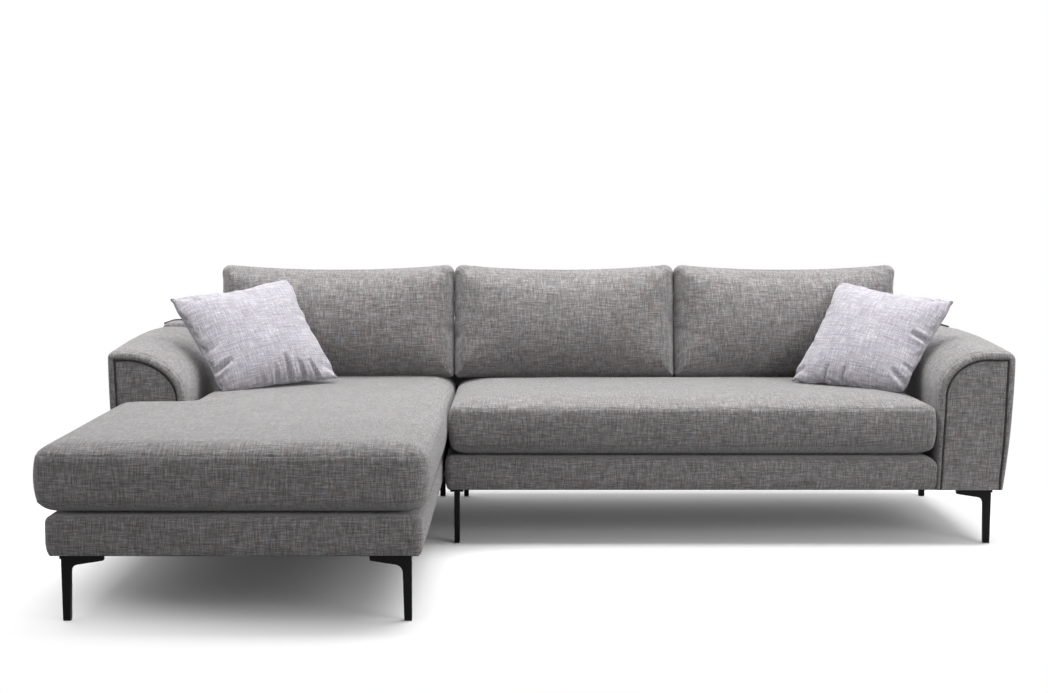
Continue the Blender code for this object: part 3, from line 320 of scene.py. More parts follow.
class Cover:
    """Gathers panels of cloth, with each point's place on the flat cloth in metres."""

    def __init__(self):
        self.points = []
        self.places = []
        self.faces = []

    def strip(self, rows, places):
        """Quads between rows of points."""
        start = len(self.points)
        width = len(rows[0])
        for row, place in zip(rows, places):
            self.points += [tuple(p) for p in row]
            self.places += [tuple(p) for p in place]
        for r in range(len(rows) - 1):
            for c in range(width - 1):
                a = start + r * width + c
                self.faces.append((a, a + 1, a + width + 1, a + width))

    def rings(self, rings):
        """A closed band through rings of points; cloth runs round it and along it."""
        rings = [closed(ring) for ring in rings]
        round_it = travelled(rings[len(rings) // 2])
        along = 0.0
        places = []
        before = rings[0]
        for ring in rings:
            along += np.median(np.linalg.norm(ring - before, axis=1))
            before = ring
            places.append(np.stack([round_it, np.full(len(ring), along)], 1))
        self.strip(rings, places)

    def fill(self, points, triangles, places):
        start = len(self.points)
        self.points += [tuple(p) for p in points]
        self.places += [tuple(p) for p in places]
        self.faces += [tuple(start + i for i in face) for face in triangles]

    def cap(self, ring, *fineness):
        """A flat panel inside a level ring."""
        places, triangles = filling(ring[:, :2], *fineness)
        self.fill(flat(places, ring[0, 2]), triangles, places)

    def end_cap(self, ring):
        """A flat panel inside a ring that faces front or rear."""
        places, triangles = filling(ring[:, [0, 2]])
        self.fill(upright(places, ring[0, 1]), triangles, places)

    def mirror(self):
        self.points = [(-x, y, z) for x, y, z in self.points]

    def make(self, name, sharp=50):
        """One welded mesh, with the cloth places in its map."""
        mesh = bpy.data.meshes.new(name)
        mesh.from_pydata(self.points, [], self.faces)
        layer = mesh.uv_layers.new(name="cloth")
        corner = np.empty(len(mesh.loops), np.int32)
        mesh.loops.foreach_get("vertex_index", corner)
        layer.data.foreach_set("uv", np.array(self.places, np.float32)[corner].ravel())
        bm = bmesh.new()
        bm.from_mesh(mesh)
        bmesh.ops.remove_doubles(bm, verts=bm.verts, dist=WELD)
        bmesh.ops.recalc_face_normals(bm, faces=bm.faces)
        bm.to_mesh(mesh)
        bm.free()
        mesh.shade_smooth()
        mesh.set_sharp_from_angle(angle=math.radians(sharp))
        return linked(name, mesh)


def linked(name, data):
    """A new object in the scene."""
    obj = bpy.data.objects.new(name, data)
    bpy.context.scene.collection.objects.link(obj)
    return obj


def coordinates(obj, kind="co"):
    """The mesh's points, or its normals."""
    found = np.empty(len(obj.data.vertices) * 3)
    obj.data.vertices.foreach_get(kind, found)
    return found.reshape(-1, 3)


def set_coordinates(obj, points):
    obj.data.vertices.foreach_set("co", np.ascontiguousarray(points).ravel())
    obj.data.update()


def wander(points, scale, seed):
    """Smooth noise at each point, from about -1 to 1; the same in every run."""
    shift = Vector((13.7 * seed, 5.1 * seed, 9.3 * seed))
    return np.array([noise.noise(Vector(p) * scale + shift) for p in points])


def flat(outline, z):
    return np.column_stack([outline, np.full(len(outline), z)])


def upright(outline, y):
    return np.column_stack([outline[:, 0], np.full(len(outline), y), outline[:, 1]])


# Materials

class Nodes:
    """Short calls for the nodes of a material or a world."""

    def __init__(self, owner):
        owner.use_nodes = True
        self.tree = owner.node_tree

    def node(self, kind, inputs=(), out=0, **settings):
        made = self.tree.nodes.new(kind)
        for key, value in settings.items():
            setattr(made, key, value)
        for index, value in dict(inputs).items():
            if isinstance(value, bpy.types.NodeSocket):
                self.tree.links.new(value, made.inputs[index])
            else:
                made.inputs[index].default_value = value
        return made.outputs[out]

    def math(self, operation, a, b=0.0, c=0.0):
        return self.node("ShaderNodeMath", {0: a, 1: b, 2: c}, operation=operation)

    def add(self, a, b):
        return self.math("ADD", a, b)

    def times(self, a, b):
        return self.math("MULTIPLY", a, b)

    def vector(self, x, y, z=0.0):
        return self.node("ShaderNodeCombineXYZ", {0: x, 1: y, 2: z})

    def noise(self, vector, scale, detail=2.0, roughness=0.5):
        inputs = {"Vector": vector, "Scale": scale, "Detail": detail, "Roughness": roughness}
        return self.node("ShaderNodeTexNoise", inputs, noise_dimensions="3D")

    def drawn(self, x, fine_x, y, fine_y, z=0.0, detail=1.0):
        """Noise drawn out along yarns: each coordinate has its own fineness."""
        return self.noise(self.vector(self.times(x, fine_x), self.times(y, fine_y), z), 1.0, detail)

    def mix(self, share, a, b):
        """Numbers from a to b."""
        return self.node("ShaderNodeMix", {0: share, 2: a, 3: b}, data_type="FLOAT")

    def ramp(self, value, stops):
        made = self.tree.nodes.new("ShaderNodeValToRGB")
        self.tree.links.new(value, made.inputs[0])
        elements = made.color_ramp.elements
        while len(elements) < len(stops):
            elements.new(0.5)
        for element, (position, colour) in zip(elements, stops):
            element.position = position
            element.color = (*colour, 1.0)
        return made.outputs[0]

    def looked_at(self):
        """One for a ray that shows the background: to the camera, in a gloss or through glass."""
        path = self.tree.nodes.new("ShaderNodeLightPath")
        seen = path.outputs["Is Camera Ray"]
        for kind in ("Is Glossy Ray", "Is Transmission Ray"):
            seen = self.math("MAXIMUM", seen, path.outputs[kind])
        return seen

    def end(self, node, socket):
        self.tree.links.new(socket, self.tree.nodes[node].inputs[0])


class Finish(Nodes):
    """One material and its shader."""

    def __init__(self, name, roughness, specular=0.25):
        self.material = bpy.data.materials.new(name)
        super().__init__(self.material)
        self.shader = self.tree.nodes["Principled BSDF"]
        self.set("Roughness", roughness)
        self.set("Specular IOR Level", specular)

    def set(self, socket, value):
        self.shader.inputs[socket].default_value = value

    def place(self):
        return self.node("ShaderNodeTexCoord", out=3)

    def blend(self, kind, share, a, b):
        inputs = {0: share, 6: a, 7: b}
        return self.node("ShaderNodeMix", inputs, out=2, data_type="RGBA", blend_type=kind)

    def bump(self, height, distance, strength=1.0):
        inputs = {"Height": height, "Distance": distance, "Strength": strength}
        self.tree.links.new(self.node("ShaderNodeBump", inputs), self.shader.inputs["Normal"])

    def colour(self, socket):
        self.tree.links.new(socket, self.shader.inputs["Base Color"])


def yarn_grid(f, place, pitch):
    """The cloth place counted in yarns both ways, with a slight drift."""
    split = f.tree.nodes.new("ShaderNodeSeparateXYZ")
    f.tree.links.new(place, split.inputs[0])
    u = f.math("DIVIDE", split.outputs[0], pitch)
    v = f.math("DIVIDE", split.outputs[1], pitch)
    drift = f.noise(place, 9.0, 1.0)
    return f.add(u, f.times(drift, 1.2)), f.add(v, f.times(drift, -1.2))


def woven(name, pitch, stops, slub, warm, cool, bunch=0.6, macro=0.05, relief=0.0004, sheen=0.45):
    """Plain weave of uneven yarns, with darker and lighter stretches in both directions."""
    f = Finish(name, 0.92)
    place = f.node("ShaderNodeUVMap", uv_map="cloth")
    u, v = yarn_grid(f, place, pitch)
    column = f.math("FLOOR", u)
    row = f.math("FLOOR", v)
    warp = f.drawn(column, 7.31, v, 3 * slub)
    weft = f.drawn(u, 3 * slub, row, 5.77, 9.1)
    over = f.math("FLOORED_MODULO", f.add(column, row), 2.0)
    yarn = f.mix(over, warp, weft)
    long_warp = f.drawn(u, bunch, v, slub, 3.3, 2.0)
    long_weft = f.drawn(u, slub, v, bunch, 6.6, 2.0)
    cross = f.times(f.add(long_warp, long_weft), 0.5)
    value = f.add(f.times(yarn, 0.25), f.times(cross, 0.75))
    hue = f.drawn(u, slub * 0.6, v, 0.3, 21.0, 2.0)
    tint = f.ramp(hue, [(0.34, cool), (0.5, (1.0, 1.0, 1.0)), (0.66, warm)])
    colour = f.blend("MULTIPLY", 1.0, f.ramp(value, stops), tint)
    cloud = f.noise(place, 7.0, 3.0)
    shade = f.ramp(cloud, [(0.3, (1 - macro,) * 3), (0.7, (1 + macro * 0.6,) * 3)])
    f.colour(f.blend("MULTIPLY", 1.0, colour, shade))
    round_u, round_v = (f.math("ABSOLUTE", f.math("SINE", f.times(way, math.pi))) for way in (u, v))
    height = f.add(f.mix(over, round_u, round_v), f.times(value, 1.5))
    f.bump(height, relief, 0.8)
    f.set("Sheen Weight", sheen)
    f.set("Sheen Roughness", 0.45)
    return f.material


def grey(level, warmth):
    return (level * (1 + warmth), level, level)


GREY_TWEED = woven(
    "grey_tweed", 0.0014,
    [
        (0.36, grey(0.075, 0.055)),
        (0.45, grey(0.142, 0.05)),
        (0.52, grey(0.200, 0.045)),
        (0.62, grey(0.350, 0.035)),
    ],
    0.045, (1.06, 0.985, 0.955), (0.95, 1.0, 1.035),
)
# Near-black piping: partly the piping's own dark cloth, partly painted shade of the groove it lies in.
DARK_PIPING_WITH_PAINTED_GROOVE_SHADE = woven(
    "grey_piping", 0.0012,
    [(0.36, grey(0.015, 0.02)), (0.5, grey(0.035, 0.03)), (0.64, grey(0.08, 0.02))],
    0.07, (1.08, 0.98, 0.92), (0.94, 0.98, 1.08), sheen=0.05,
)
PALE_WEAVE = woven(
    "pale_weave", 0.0017,
    [
        (0.38, (0.24, 0.225, 0.26)),
        (0.47, (0.35, 0.335, 0.375)),
        (0.55, (0.42, 0.405, 0.44)),
        (0.64, (0.70, 0.69, 0.72)),
    ],
    0.045, (1.02, 0.99, 0.98), (0.98, 0.99, 1.02), bunch=0.95, macro=0.02, sheen=0.4,
)


def satin_black(name):
    """Black powder coat: faint orange peel, slightly uneven gloss."""
    f = Finish(name, 0.38, 0.08)
    place = f.place()
    grain = f.noise(place, 900.0, 2.0)
    cloud = f.noise(place, 14.0, 3.0)
    f.colour(f.ramp(cloud, [(0.3, (0.004, 0.004, 0.0045)), (0.7, (0.008, 0.008, 0.0085))]))
    rough = f.add(f.times(cloud, 0.16), 0.28)
    f.tree.links.new(rough, f.shader.inputs["Roughness"])
    f.bump(grain, 0.00006, 0.5)
    return f.material


def sawn_timber(name):
    """Softwood rails: long grain with darker late wood and a few pores."""
    f = Finish(name, 0.72)
    place = f.place()
    stretched = f.node("ShaderNodeMapping", {0: place, 3: (1.5, 22.0, 30.0)})
    grain = f.noise(stretched, 2.0, 5.0, 0.6)
    pale, middle, dark = (0.66, 0.50, 0.31), (0.58, 0.42, 0.24), (0.38, 0.24, 0.12)
    f.colour(f.ramp(grain, [(0.3, dark), (0.55, middle), (0.75, pale)]))
    f.bump(grain, 0.0006, 0.5)
    return f.material


def spun_cloth(name):
    """Black spunbonded dust cloth with its small embossed dots."""
    f = Finish(name, 0.9, 0.2)
    place = f.place()
    dots = f.node("ShaderNodeTexVoronoi", {"Vector": place, "Scale": 420.0, "Randomness": 0.1})
    fibres = f.noise(place, 260.0, 4.0, 0.7)
    f.colour(f.ramp(fibres, [(0.35, (0.012, 0.012, 0.013)), (0.7, (0.035, 0.035, 0.036))]))
    f.bump(dots, 0.0002, 0.6)
    return f.material


def moulded_black(name):
    f = Finish(name, 0.65, 0.4)
    place = f.place()
    speckle = f.noise(place, 1200.0, 3.0)
    f.colour(f.ramp(speckle, [(0.3, (0.022, 0.022, 0.022)), (0.7, (0.040, 0.040, 0.040))]))
    f.bump(speckle, 0.00005, 0.5)
    return f.material


SATIN_BLACK = satin_black("black_steel")
TIMBER = sawn_timber("timber")
DUST_CLOTH = spun_cloth("dust_cloth")
GLIDE_BLACK = moulded_black("glide_plastic")


def dress(obj, finish, body, slot, *nodes):
    """Gives a piece its finish and its body, and hides the nodes that it stands for. The slot is not used."""
    obj.data.materials.clear()
    obj.data.materials.append(finish)
    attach(obj, body)
    if nodes:
        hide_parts(*nodes)


def frame_cloth(obj, node):
    dress(obj, GREY_TWEED, "sofa_frame", "grey_tweed", node)


# The piping's near-black cloth is partly its own colour and partly painted shade of its groove.
def frame_piping(obj, node):
    dress(obj, DARK_PIPING_WITH_PAINTED_GROOVE_SHADE, "sofa_frame", "grey_piping", node)


# Arms

def side_tuck(z):
    """How far the outer side of an arm or a back curves in below the arm's top."""
    drop = np.maximum(0.0, (ARM_TOP_Z - z) / ARM_HEIGHT)
    return SIDE_TUCK * drop ** 2.2


def arm_section(side, top, shrink=0.0):
    """A right arm's section as (x, z): up the outer side, over, down the inner side.

    Towards the panel in its front, its foot gets wider.
    """
    reach, drop = ARM_SHOULDER[side]
    radius = ARM_OUTER_RADIUS[side]
    share = min(1.0, shrink / BAND_WIDTH)
    outer_top = top - radius
    z = np.linspace(COVER_Z, outer_top, 16)
    points = [np.stack([RIGHT_X - side_tuck(z), z], 1)]
    turn = quarter(11)[1:]
    arc = np.stack([np.cos(turn), np.sin(turn)], 1)
    points.append(np.array([RIGHT_X - radius, outer_top]) + radius * arc)
    flat_x = np.linspace(RIGHT_X - radius, SEAT_RIGHT + reach, 6)[1:-1]
    points.append(np.stack([flat_x, np.full(4, top)], 1))
    turn = np.radians(np.linspace(90, 180, 25))
    arc = np.stack([reach * np.cos(turn), drop * np.sin(turn)], 1)
    points.append(np.array([SEAT_RIGHT + reach, top - drop]) + arc)
    z = np.linspace(top - drop, COVER_Z, 16)[1:]
    points.append(np.stack([np.full(15, SEAT_RIGHT), z], 1))
    points = inset(np.concatenate(points), shrink)
    points[[0, -1], 1] = COVER_Z
    middle = (RIGHT_X + SEAT_RIGHT) / 2
    fall = np.maximum(0.0, (top - BAND_WIDTH - drop - points[:, 1]) / ARM_HEIGHT)
    points[:, 0] += np.sign(points[:, 0] - middle) * BAND_TAPER * share * fall
    return points


def arm_top(y):
    """The arm's top climbs from its front and levels off before the back."""
    share = (y - FRONT_Y) / (BACK_Y - FRONT_Y)
    return ARM_TOP_Z + ARM_RISE * math.sin(math.pi / 2 * share / ARM_CREST)


def closed_section(points):
    """The section with its straight underside, from the inner bottom to the outer one."""
    under = np.linspace(points[-1], points[0], 12)[1:-1]
    return np.concatenate([points, under])


def arm_cover(side, mirror):
    """The arm's cloth: its body, a seam, the band rolled over its front edge and the recess."""
    cover = Cover()
    seam = FRONT_Y + ARM_ROLL + ARM_SEAM
    rear = BACK_Y - TOUCH
    length = rear - seam - 2 * SEAM_WIDTH
    steps = [(0.0, rear - length * share) for share in np.linspace(0, 1, 28)]
    steps += [(SEAM_DEPTH / 2, seam), (0.0, seam - 2 * SEAM_WIDTH)]
    for turn in quarter(9):
        steps.append((ARM_ROLL * (1 - math.cos(turn)), FRONT_Y + ARM_ROLL * (1 - math.sin(turn))))
    for turn in quarter(6)[1:]:
        inwards = BAND_WIDTH - GROOVE_ROLL * (1 - math.sin(turn))
        steps.append((inwards, FRONT_Y + GROOVE_ROLL * (1 - math.cos(turn))))
    steps.append((BAND_WIDTH, FRONT_Y + PANEL_SETBACK + PANEL_THICKNESS))
    rings = []
    for shrink, y in steps:
        top = arm_top(y) if y > seam else ARM_TOP_Z
        rings.append(upright(closed_section(arm_section(side, top, shrink)), y))
    cover.rings(rings)
    for ring in (rings[0], rings[-1]):
        cover.end_cap(ring)
    if mirror:
        cover.mirror()
    obj = cover.make(f"{side}_arm_cloth")
    soften(obj, 0.0012, 5.0, 1 + mirror)
    frame_cloth(obj, f"{side}_arm_cover")


def soften(obj, depth, scale, seed):
    """Gives taut cloth a faint unevenness over its padding."""
    points = coordinates(obj)
    fine = FINE_SHARE * depth * wander(points, FINE_SCALE * scale, seed + 3)
    move = depth * wander(points, scale, seed) + fine
    set_coordinates(obj, points + coordinates(obj, "normal") * move[:, None])


def arm_panel(side, mirror):
    """The flat panel inside the band, its edge rolled in beside the piping."""
    gap = 2 * PIPING_RADIUS
    face = FRONT_Y + PANEL_SETBACK
    cover = Cover()
    rings = []
    for shrink, depth in ((0.0, PANEL_THICKNESS - TOUCH),) + PANEL_EDGE:
        outline = closed_section(arm_section(side, ARM_TOP_Z, BAND_WIDTH + gap - PANEL_TIGHT + shrink))
        rings.append(upright(outline, face + depth))
    cover.rings(rings)
    last = rings[-1][:, [0, 2]]
    places, triangles = filling(last, *PANEL_MESH)
    puff = PANEL_PUFF * np.minimum(1.0, distance_to(places, last) / PANEL_PUFF_REACH)
    points = upright(places, face)
    points[:, 1] -= puff
    cover.fill(points, triangles, places)
    cover.end_cap(rings[0])
    if mirror:
        cover.mirror()
    frame_cloth(cover.make(f"{side}_arm_front_cloth"), f"{side}_arm_front_panel")


def tube(name, path, radius, facets=10):
    """A round cord along an open path, with closed ends and cloth places."""
    path = np.asarray(path, float)
    ahead = np.gradient(path, axis=0)
    ahead /= np.linalg.norm(ahead, axis=1)[:, None]
    aside = np.cross(ahead, (0.31, 0.87, 0.38))
    aside /= np.linalg.norm(aside, axis=1)[:, None]
    above = np.cross(ahead, aside)
    turn = np.linspace(0, 2 * math.pi, facets + 1)[:-1]
    cover = Cover()
    rings = []
    for spot, a, b in zip(path, aside, above):
        rings.append(spot + radius * (np.cos(turn)[:, None] * a + np.sin(turn)[:, None] * b))
    round_it = np.linspace(0, 2 * math.pi * radius, facets + 1)
    places = [np.stack([np.full(facets + 1, length), round_it], 1) for length in travelled(path)]
    cover.strip([closed(ring) for ring in rings], places)
    for ring in (rings[0], rings[-1]):
        fan = np.concatenate([ring, ring.mean(0)[None]])
        faces = [(i, (i + 1) % facets, facets) for i in range(facets)]
        cover.fill(fan, faces, np.zeros((facets + 1, 2)))
    return cover.make(name)


def smooth_path(points, spacing):
    """The path with points at an even spacing."""
    points = np.asarray(points, float)
    length = travelled(points)
    at = np.linspace(0, length[-1], max(3, int(length[-1] / spacing)))
    return np.stack([np.interp(at, length, points[:, k]) for k in range(points.shape[1])], 1)


def arm_piping(side, mirror):
    outline = arm_section(side, ARM_TOP_Z, BAND_WIDTH + PIPING_RADIUS - PIPING_SUNK)
    path = upright(outline, FRONT_Y + PANEL_SETBACK + PIPING_RADIUS / 2)
    if mirror:
        path[:, 0] *= -1
    obj = tube(f"{side}_arm_welt", smooth_path(path, ARM_PIPING_STEP), PIPING_RADIUS)
    frame_piping(obj, f"{side}_arm_piping")


# Bases

def rolled_edge(radius, top):
    """(inset, height) round a rolled top edge."""
    return [(radius * (1 - math.cos(t)), top - radius * (1 - math.sin(t))) for t in quarter(7)[1:]]


def base_cloth(name, corners, node, dip_x=None):
    """The cloth over a module's rails and deck: rolled top edge, slightly full sides."""
    steps = [(BASE_TUCK + more, COVER_Z + height) for more, height in BASE_HEM]
    edge_z = DECK_Z - DECK_CROWN
    for share in np.linspace(0.1, 1.0, 8):
        z = COVER_Z + (edge_z - BASE_EDGE - COVER_Z) * share
        steps.append((BASE_TUCK * (1 - min(1.0, share / 0.4)) ** 1.5, z))
    steps += rolled_edge(BASE_EDGE, edge_z)
    parts = parts_of(shrunk(corners, 0.0), BASE_PART)
    rings = [flat(divided(shrunk(corners, d), parts), z) for d, z in steps]
    cover = Cover()
    cover.rings(rings)
    for ring, bulge in ((rings[0], 0.0), (rings[-1], DECK_CROWN)):
        places, triangles = filling(ring[:, :2], *DECK_MESH)
        points = flat(places, ring[0, 2])
        points[:, 2] += bulge * np.clip(distance_to(places, ring[:, :2]) / DECK_REACH, 0, 1)
        cover.fill(points, triangles, places)
    obj = cover.make(name)
    if dip_x is not None:
        points = coordinates(obj)
        near = np.clip((points[:, 0] - dip_x) / END_DIP_WIDTH + 1, 0, 1) ** 2
        high = np.clip((points[:, 2] - COVER_Z) / (DECK_Z - COVER_Z), 0, 1)
        points[:, 2] -= END_DIP * near * high
        set_coordinates(obj, points)
    soften(obj, 0.0010, 6.0, 4)
    frame_cloth(obj, node)


def bases():
    right = CHAISE_HIGH.x
    waist = SEAT_LEFT + TOUCH
    rear = BACK_Y - TOUCH
    base_cloth("chaise_base_cloth", [
        (CHAISE_LOW.x, CHAISE_LOW.y, BASE_CORNER),
        (right, CHAISE_LOW.y, BASE_CORNER),
        (right, rear, 0),
        (waist, rear, 0),
        (waist, FRONT_Y - TOUCH, 0),
        (CHAISE_LOW.x, FRONT_Y - TOUCH, 0),
    ], "chaise_base_cover")
    base_cloth("main_base_cloth", [
        (MAIN_LOW.x, MAIN_LOW.y, BASE_CORNER),
        (SEAT_RIGHT - TOUCH, MAIN_LOW.y, 0),
        (SEAT_RIGHT - TOUCH, rear, 0),
        (MAIN_LOW.x, rear, 0),
    ], "main_base_cover", SEAT_RIGHT)


# Backs

def back_corners(z, left_end):
    outer = float(side_tuck(z))
    middle = (CHAISE_BACK_HIGH.x + BACK_LOW.x) / 2
    if left_end:
        return [
            (-RIGHT_X + outer, BACK_Y, 1.5 * BACK_EDGE),
            (middle - TOUCH, BACK_Y, 0),
            (middle - TOUCH, REAR_Y, 0),
            (-RIGHT_X + outer, REAR_Y, BACK_CORNER),
        ]
    return [
        (middle + TOUCH, BACK_Y, 0),
        (RIGHT_X - outer, BACK_Y, 1.5 * BACK_EDGE),
        (RIGHT_X - outer, REAR_Y, BACK_CORNER),
        (middle + TOUCH, REAR_Y, 0),
    ]


def shape_crest(obj):
    """Lifts the back's top edge at the left and lets it drop towards the right arm."""
    points = coordinates(obj)
    lift = np.interp(points[:, 0], [x for x, _ in BACK_CREST], [z for _, z in BACK_CREST])
    high = np.clip((points[:, 2] - COVER_Z) / (BACK_TOP_Z - COVER_Z), 0, 1) ** 3
    points[:, 2] += lift * high
    set_coordinates(obj, points)


def back_cloth(module, left_end):
    """The cloth over one module's back, with a rolled top edge."""
    steps = [(more, COVER_Z + height) for more, height in BACK_HEM]
    steps += [(0.0, z) for z in np.linspace(COVER_Z + 0.03, BACK_TOP_Z - BACK_EDGE, 14)]
    steps += rolled_edge(BACK_EDGE, BACK_TOP_Z)
    parts = parts_of(shrunk(back_corners(BACK_TOP_Z, left_end), 0.0), BACK_PART)
    rings = [flat(divided(shrunk(back_corners(z, left_end), d), parts), z) for d, z in steps]
    cover = Cover()
    cover.rings(rings)
    for ring in (rings[0], rings[-1]):
        cover.cap(ring, *BACK_MESH)
    obj = cover.make(f"{module}_back_cloth")
    shape_crest(obj)
    soften(obj, 0.0010, 4.0, 6 + left_end)
    frame_cloth(obj, f"{module}_back_cover")


def back_piping(module, left_end):
    """Piping round the back's top edge, open towards the other module."""
    inwards, above = BACK_WELT
    ring = flat(shrunk(back_corners(BACK_TOP_Z, left_end), inwards), BACK_TOP_Z + above)
    half_y = (BACK_Y + REAR_Y) / 2
    junction = np.argsort(np.abs(ring[:, 0] - (CHAISE_BACK_HIGH.x + BACK_LOW.x) / 2))[:2]
    front_end = junction[np.argmin(ring[junction, 1])]
    path = [p for i, p in enumerate(ring) if i != front_end and p[1] > half_y]
    if left_end:
        path.append((path[-1][0], BACK_Y + 2 * BACK_EDGE, path[-1][2]))
    else:
        path.insert(0, (path[0][0], BACK_Y + 2 * BACK_EDGE, path[0][2]))
    piping = tube(f"{module}_back_welt", smooth_path(path, BACK_PIPING_STEP), PIPING_RADIUS)
    shape_crest(piping)
    frame_piping(piping, f"{module}_back_piping")


# Cushions

# A crown's steep part, its power, and how much further its gentle part reaches.
CROWN_STEEP = 0.87
CROWN_POWER = 0.6
CROWN_GENTLE_REACH = 2.2


def crown(apart, width):
    """A height from 0 at the seam to 1: steep at first, then nearly level."""
    steep = np.sin(math.pi / 2 * np.minimum(1.0, apart / width)) ** CROWN_POWER
    gentle = np.sin(math.pi / 2 * np.minimum(1.0, apart / width / CROWN_GENTLE_REACH))
    return CROWN_STEEP * steep + (1 - CROWN_STEEP) * gentle


def pucker(around, height, seed):
    """Small gathers along a seam, of their own on each cushion and at each height."""
    own = np.full_like(around, seed * 3.7)
    level = np.full_like(around, height * 10.0)
    return wander(np.stack([around * GATHERS, own, level], 1), 1.0, seed)


def seat_profile():
    """(inset, height) up the border: the roll, the lower seam, the full side, the top seam."""
    steps = []
    for turn in quarter(9)[:-1]:
        under = (1 - math.sin(turn)) * (1 - SEAT_FOOT_SLANT) + math.cos(turn) * SEAT_FOOT_SLANT
        steps.append((SEAT_BULGE + (SEAT_FOOT_INSET - SEAT_BULGE) * under, LOWER_SEAM * (1 - math.cos(turn))))
    steps += [(SEAT_BULGE, LOWER_SEAM - SEAM_WIDTH), (SEAT_BULGE + SEAM_DEPTH, LOWER_SEAM)]
    for share in np.linspace(0, 1, 12):
        z = LOWER_SEAM + SEAM_WIDTH + (UPPER_SEAM - LOWER_SEAM - 2 * SEAM_WIDTH) * share
        steps.append((SEAT_BULGE * (1 - math.sin(math.pi * share) ** 0.8), z))
    steps.append((SEAT_BULGE + SEAM_DEPTH, UPPER_SEAM))
    return steps


def seat_border(corners, seed):
    """A seat cushion's rings up to its top seam, with gathers beside both seams."""
    parts = parts_of(shrunk(corners, 0.0), CLOTH_SPACING)
    around = None
    rings = []
    for distance, z in seat_profile():
        ring = divided(shrunk(corners, distance), parts)
        if around is None:
            around = np.cumsum(sides(ring))
        near = np.exp(-min(abs(z - LOWER_SEAM), abs(z - UPPER_SEAM)) / GATHER_BORDER)
        wave = GATHER_DEPTH * near * pucker(around, z, seed)
        out = ring - inset(ring, 1.0)
        out /= np.linalg.norm(out, axis=1)[:, None]
        rings.append(flat(ring + out * wave[:, None], SEAT_Z + z))
    return rings


def seat_top(cover, top, rise, reach, seed):
    """The crowned top inside its seam, with gathers that die away from it and slow waves."""
    places, triangles = filling(top, *SEAT_MESH)
    apart = soft_distance(places, top)
    height = rise * crown(apart, reach)
    level = flat(places, 0.0)
    ripple = GATHER_DEPTH * np.exp(-apart / GATHER_TOP) * (apart > 0) * wander(level, GATHERS, seed)
    sway = SEAT_SWAY * np.minimum(1.0, apart / SEAT_SWAY_REACH) * wander(level, SEAT_SWAY_SCALE, seed + 5)
    points = np.column_stack([places, SEAT_Z + UPPER_SEAM + height + ripple + sway])
    cover.fill(points, triangles, places)


def seat_cushion(name, corners, rise, reach, seed):
    """A boxed seat cushion: rolled foot, sewn border and a crowned top."""
    cover = Cover()
    rings = seat_border(corners, seed)
    cover.rings(rings)
    seat_top(cover, rings[-1][:, :2], rise, reach, seed)
    cover.cap(rings[0])
    obj = cover.make(name, 60)
    node = name.replace("_cloth", "")
    dress(obj, GREY_TWEED, node, "grey_tweed", node)


def seat_cushions():
    low, high = CHAISE_SEAT_LOW, CHAISE_SEAT_HIGH
    rear = high.y
    gap = BENCH_HIGH.x - SEAT_RIGHT
    step_y = FRONT_Y + gap
    rise = CROWN_Z - SEAT_Z - UPPER_SEAM
    seat_cushion("chaise_seat_cushion_cloth", [
        (low.x + CHAISE_SLANT[0], low.y, SEAT_CORNER),
        (high.x, low.y, SEAT_CORNER),
        (high.x, rear, SEAT_CORNER / 2),
        (SEAT_LEFT - gap, rear, SEAT_CORNER / 2),
        (SEAT_LEFT - gap, step_y, 0),
        (low.x + CHAISE_SLANT[1], step_y, SEAT_CORNER / 2),
    ], rise, CHAISE_CROWN_REACH, 11)
    low, high = BENCH_LOW, BENCH_HIGH
    seat_cushion("bench_seat_cushion_cloth", [
        (low.x, low.y, SEAT_CORNER / 2),
        (high.x, low.y, SEAT_CORNER / 2),
        (high.x, rear, SEAT_CORNER / 2),
        (low.x, rear, SEAT_CORNER / 2),
    ], rise, BENCH_CROWN_REACH, 12)


def dipped(outline, dips):
    """Draws each side in between its corners: dips are (direction, depth) pairs."""
    low, high = outline.min(0), outline.max(0)
    spots = (outline - (low + high) / 2) / ((high - low) / 2)
    moved = outline.copy()
    for (x, y), depth in dips:
        outward = np.maximum(0.0, spots[:, 0] * x + spots[:, 1] * y)
        across = np.abs(spots[:, 0] * y + spots[:, 1] * x)
        share = outward ** 6 * (1 - across ** 2)
        moved -= np.array([[x, y]]) * (depth * share)[:, None]
    return moved


def local_points(node, turn):
    """A CAD node's points seen along its own turned axes."""
    return coordinates(frame["nodes"][node]) @ np.array(turn.to_3x3())


# Slow waves of a stuffed face: depth, distance from the seam to their full depth, and fineness.
STUFFED_SWAY = 0.0020
STUFFED_SWAY_REACH = 0.08
STUFFED_SWAY_SCALE = 6.0
# An edge rounded less than this starts right at its seam.
KNIFE_EDGE = 0.01


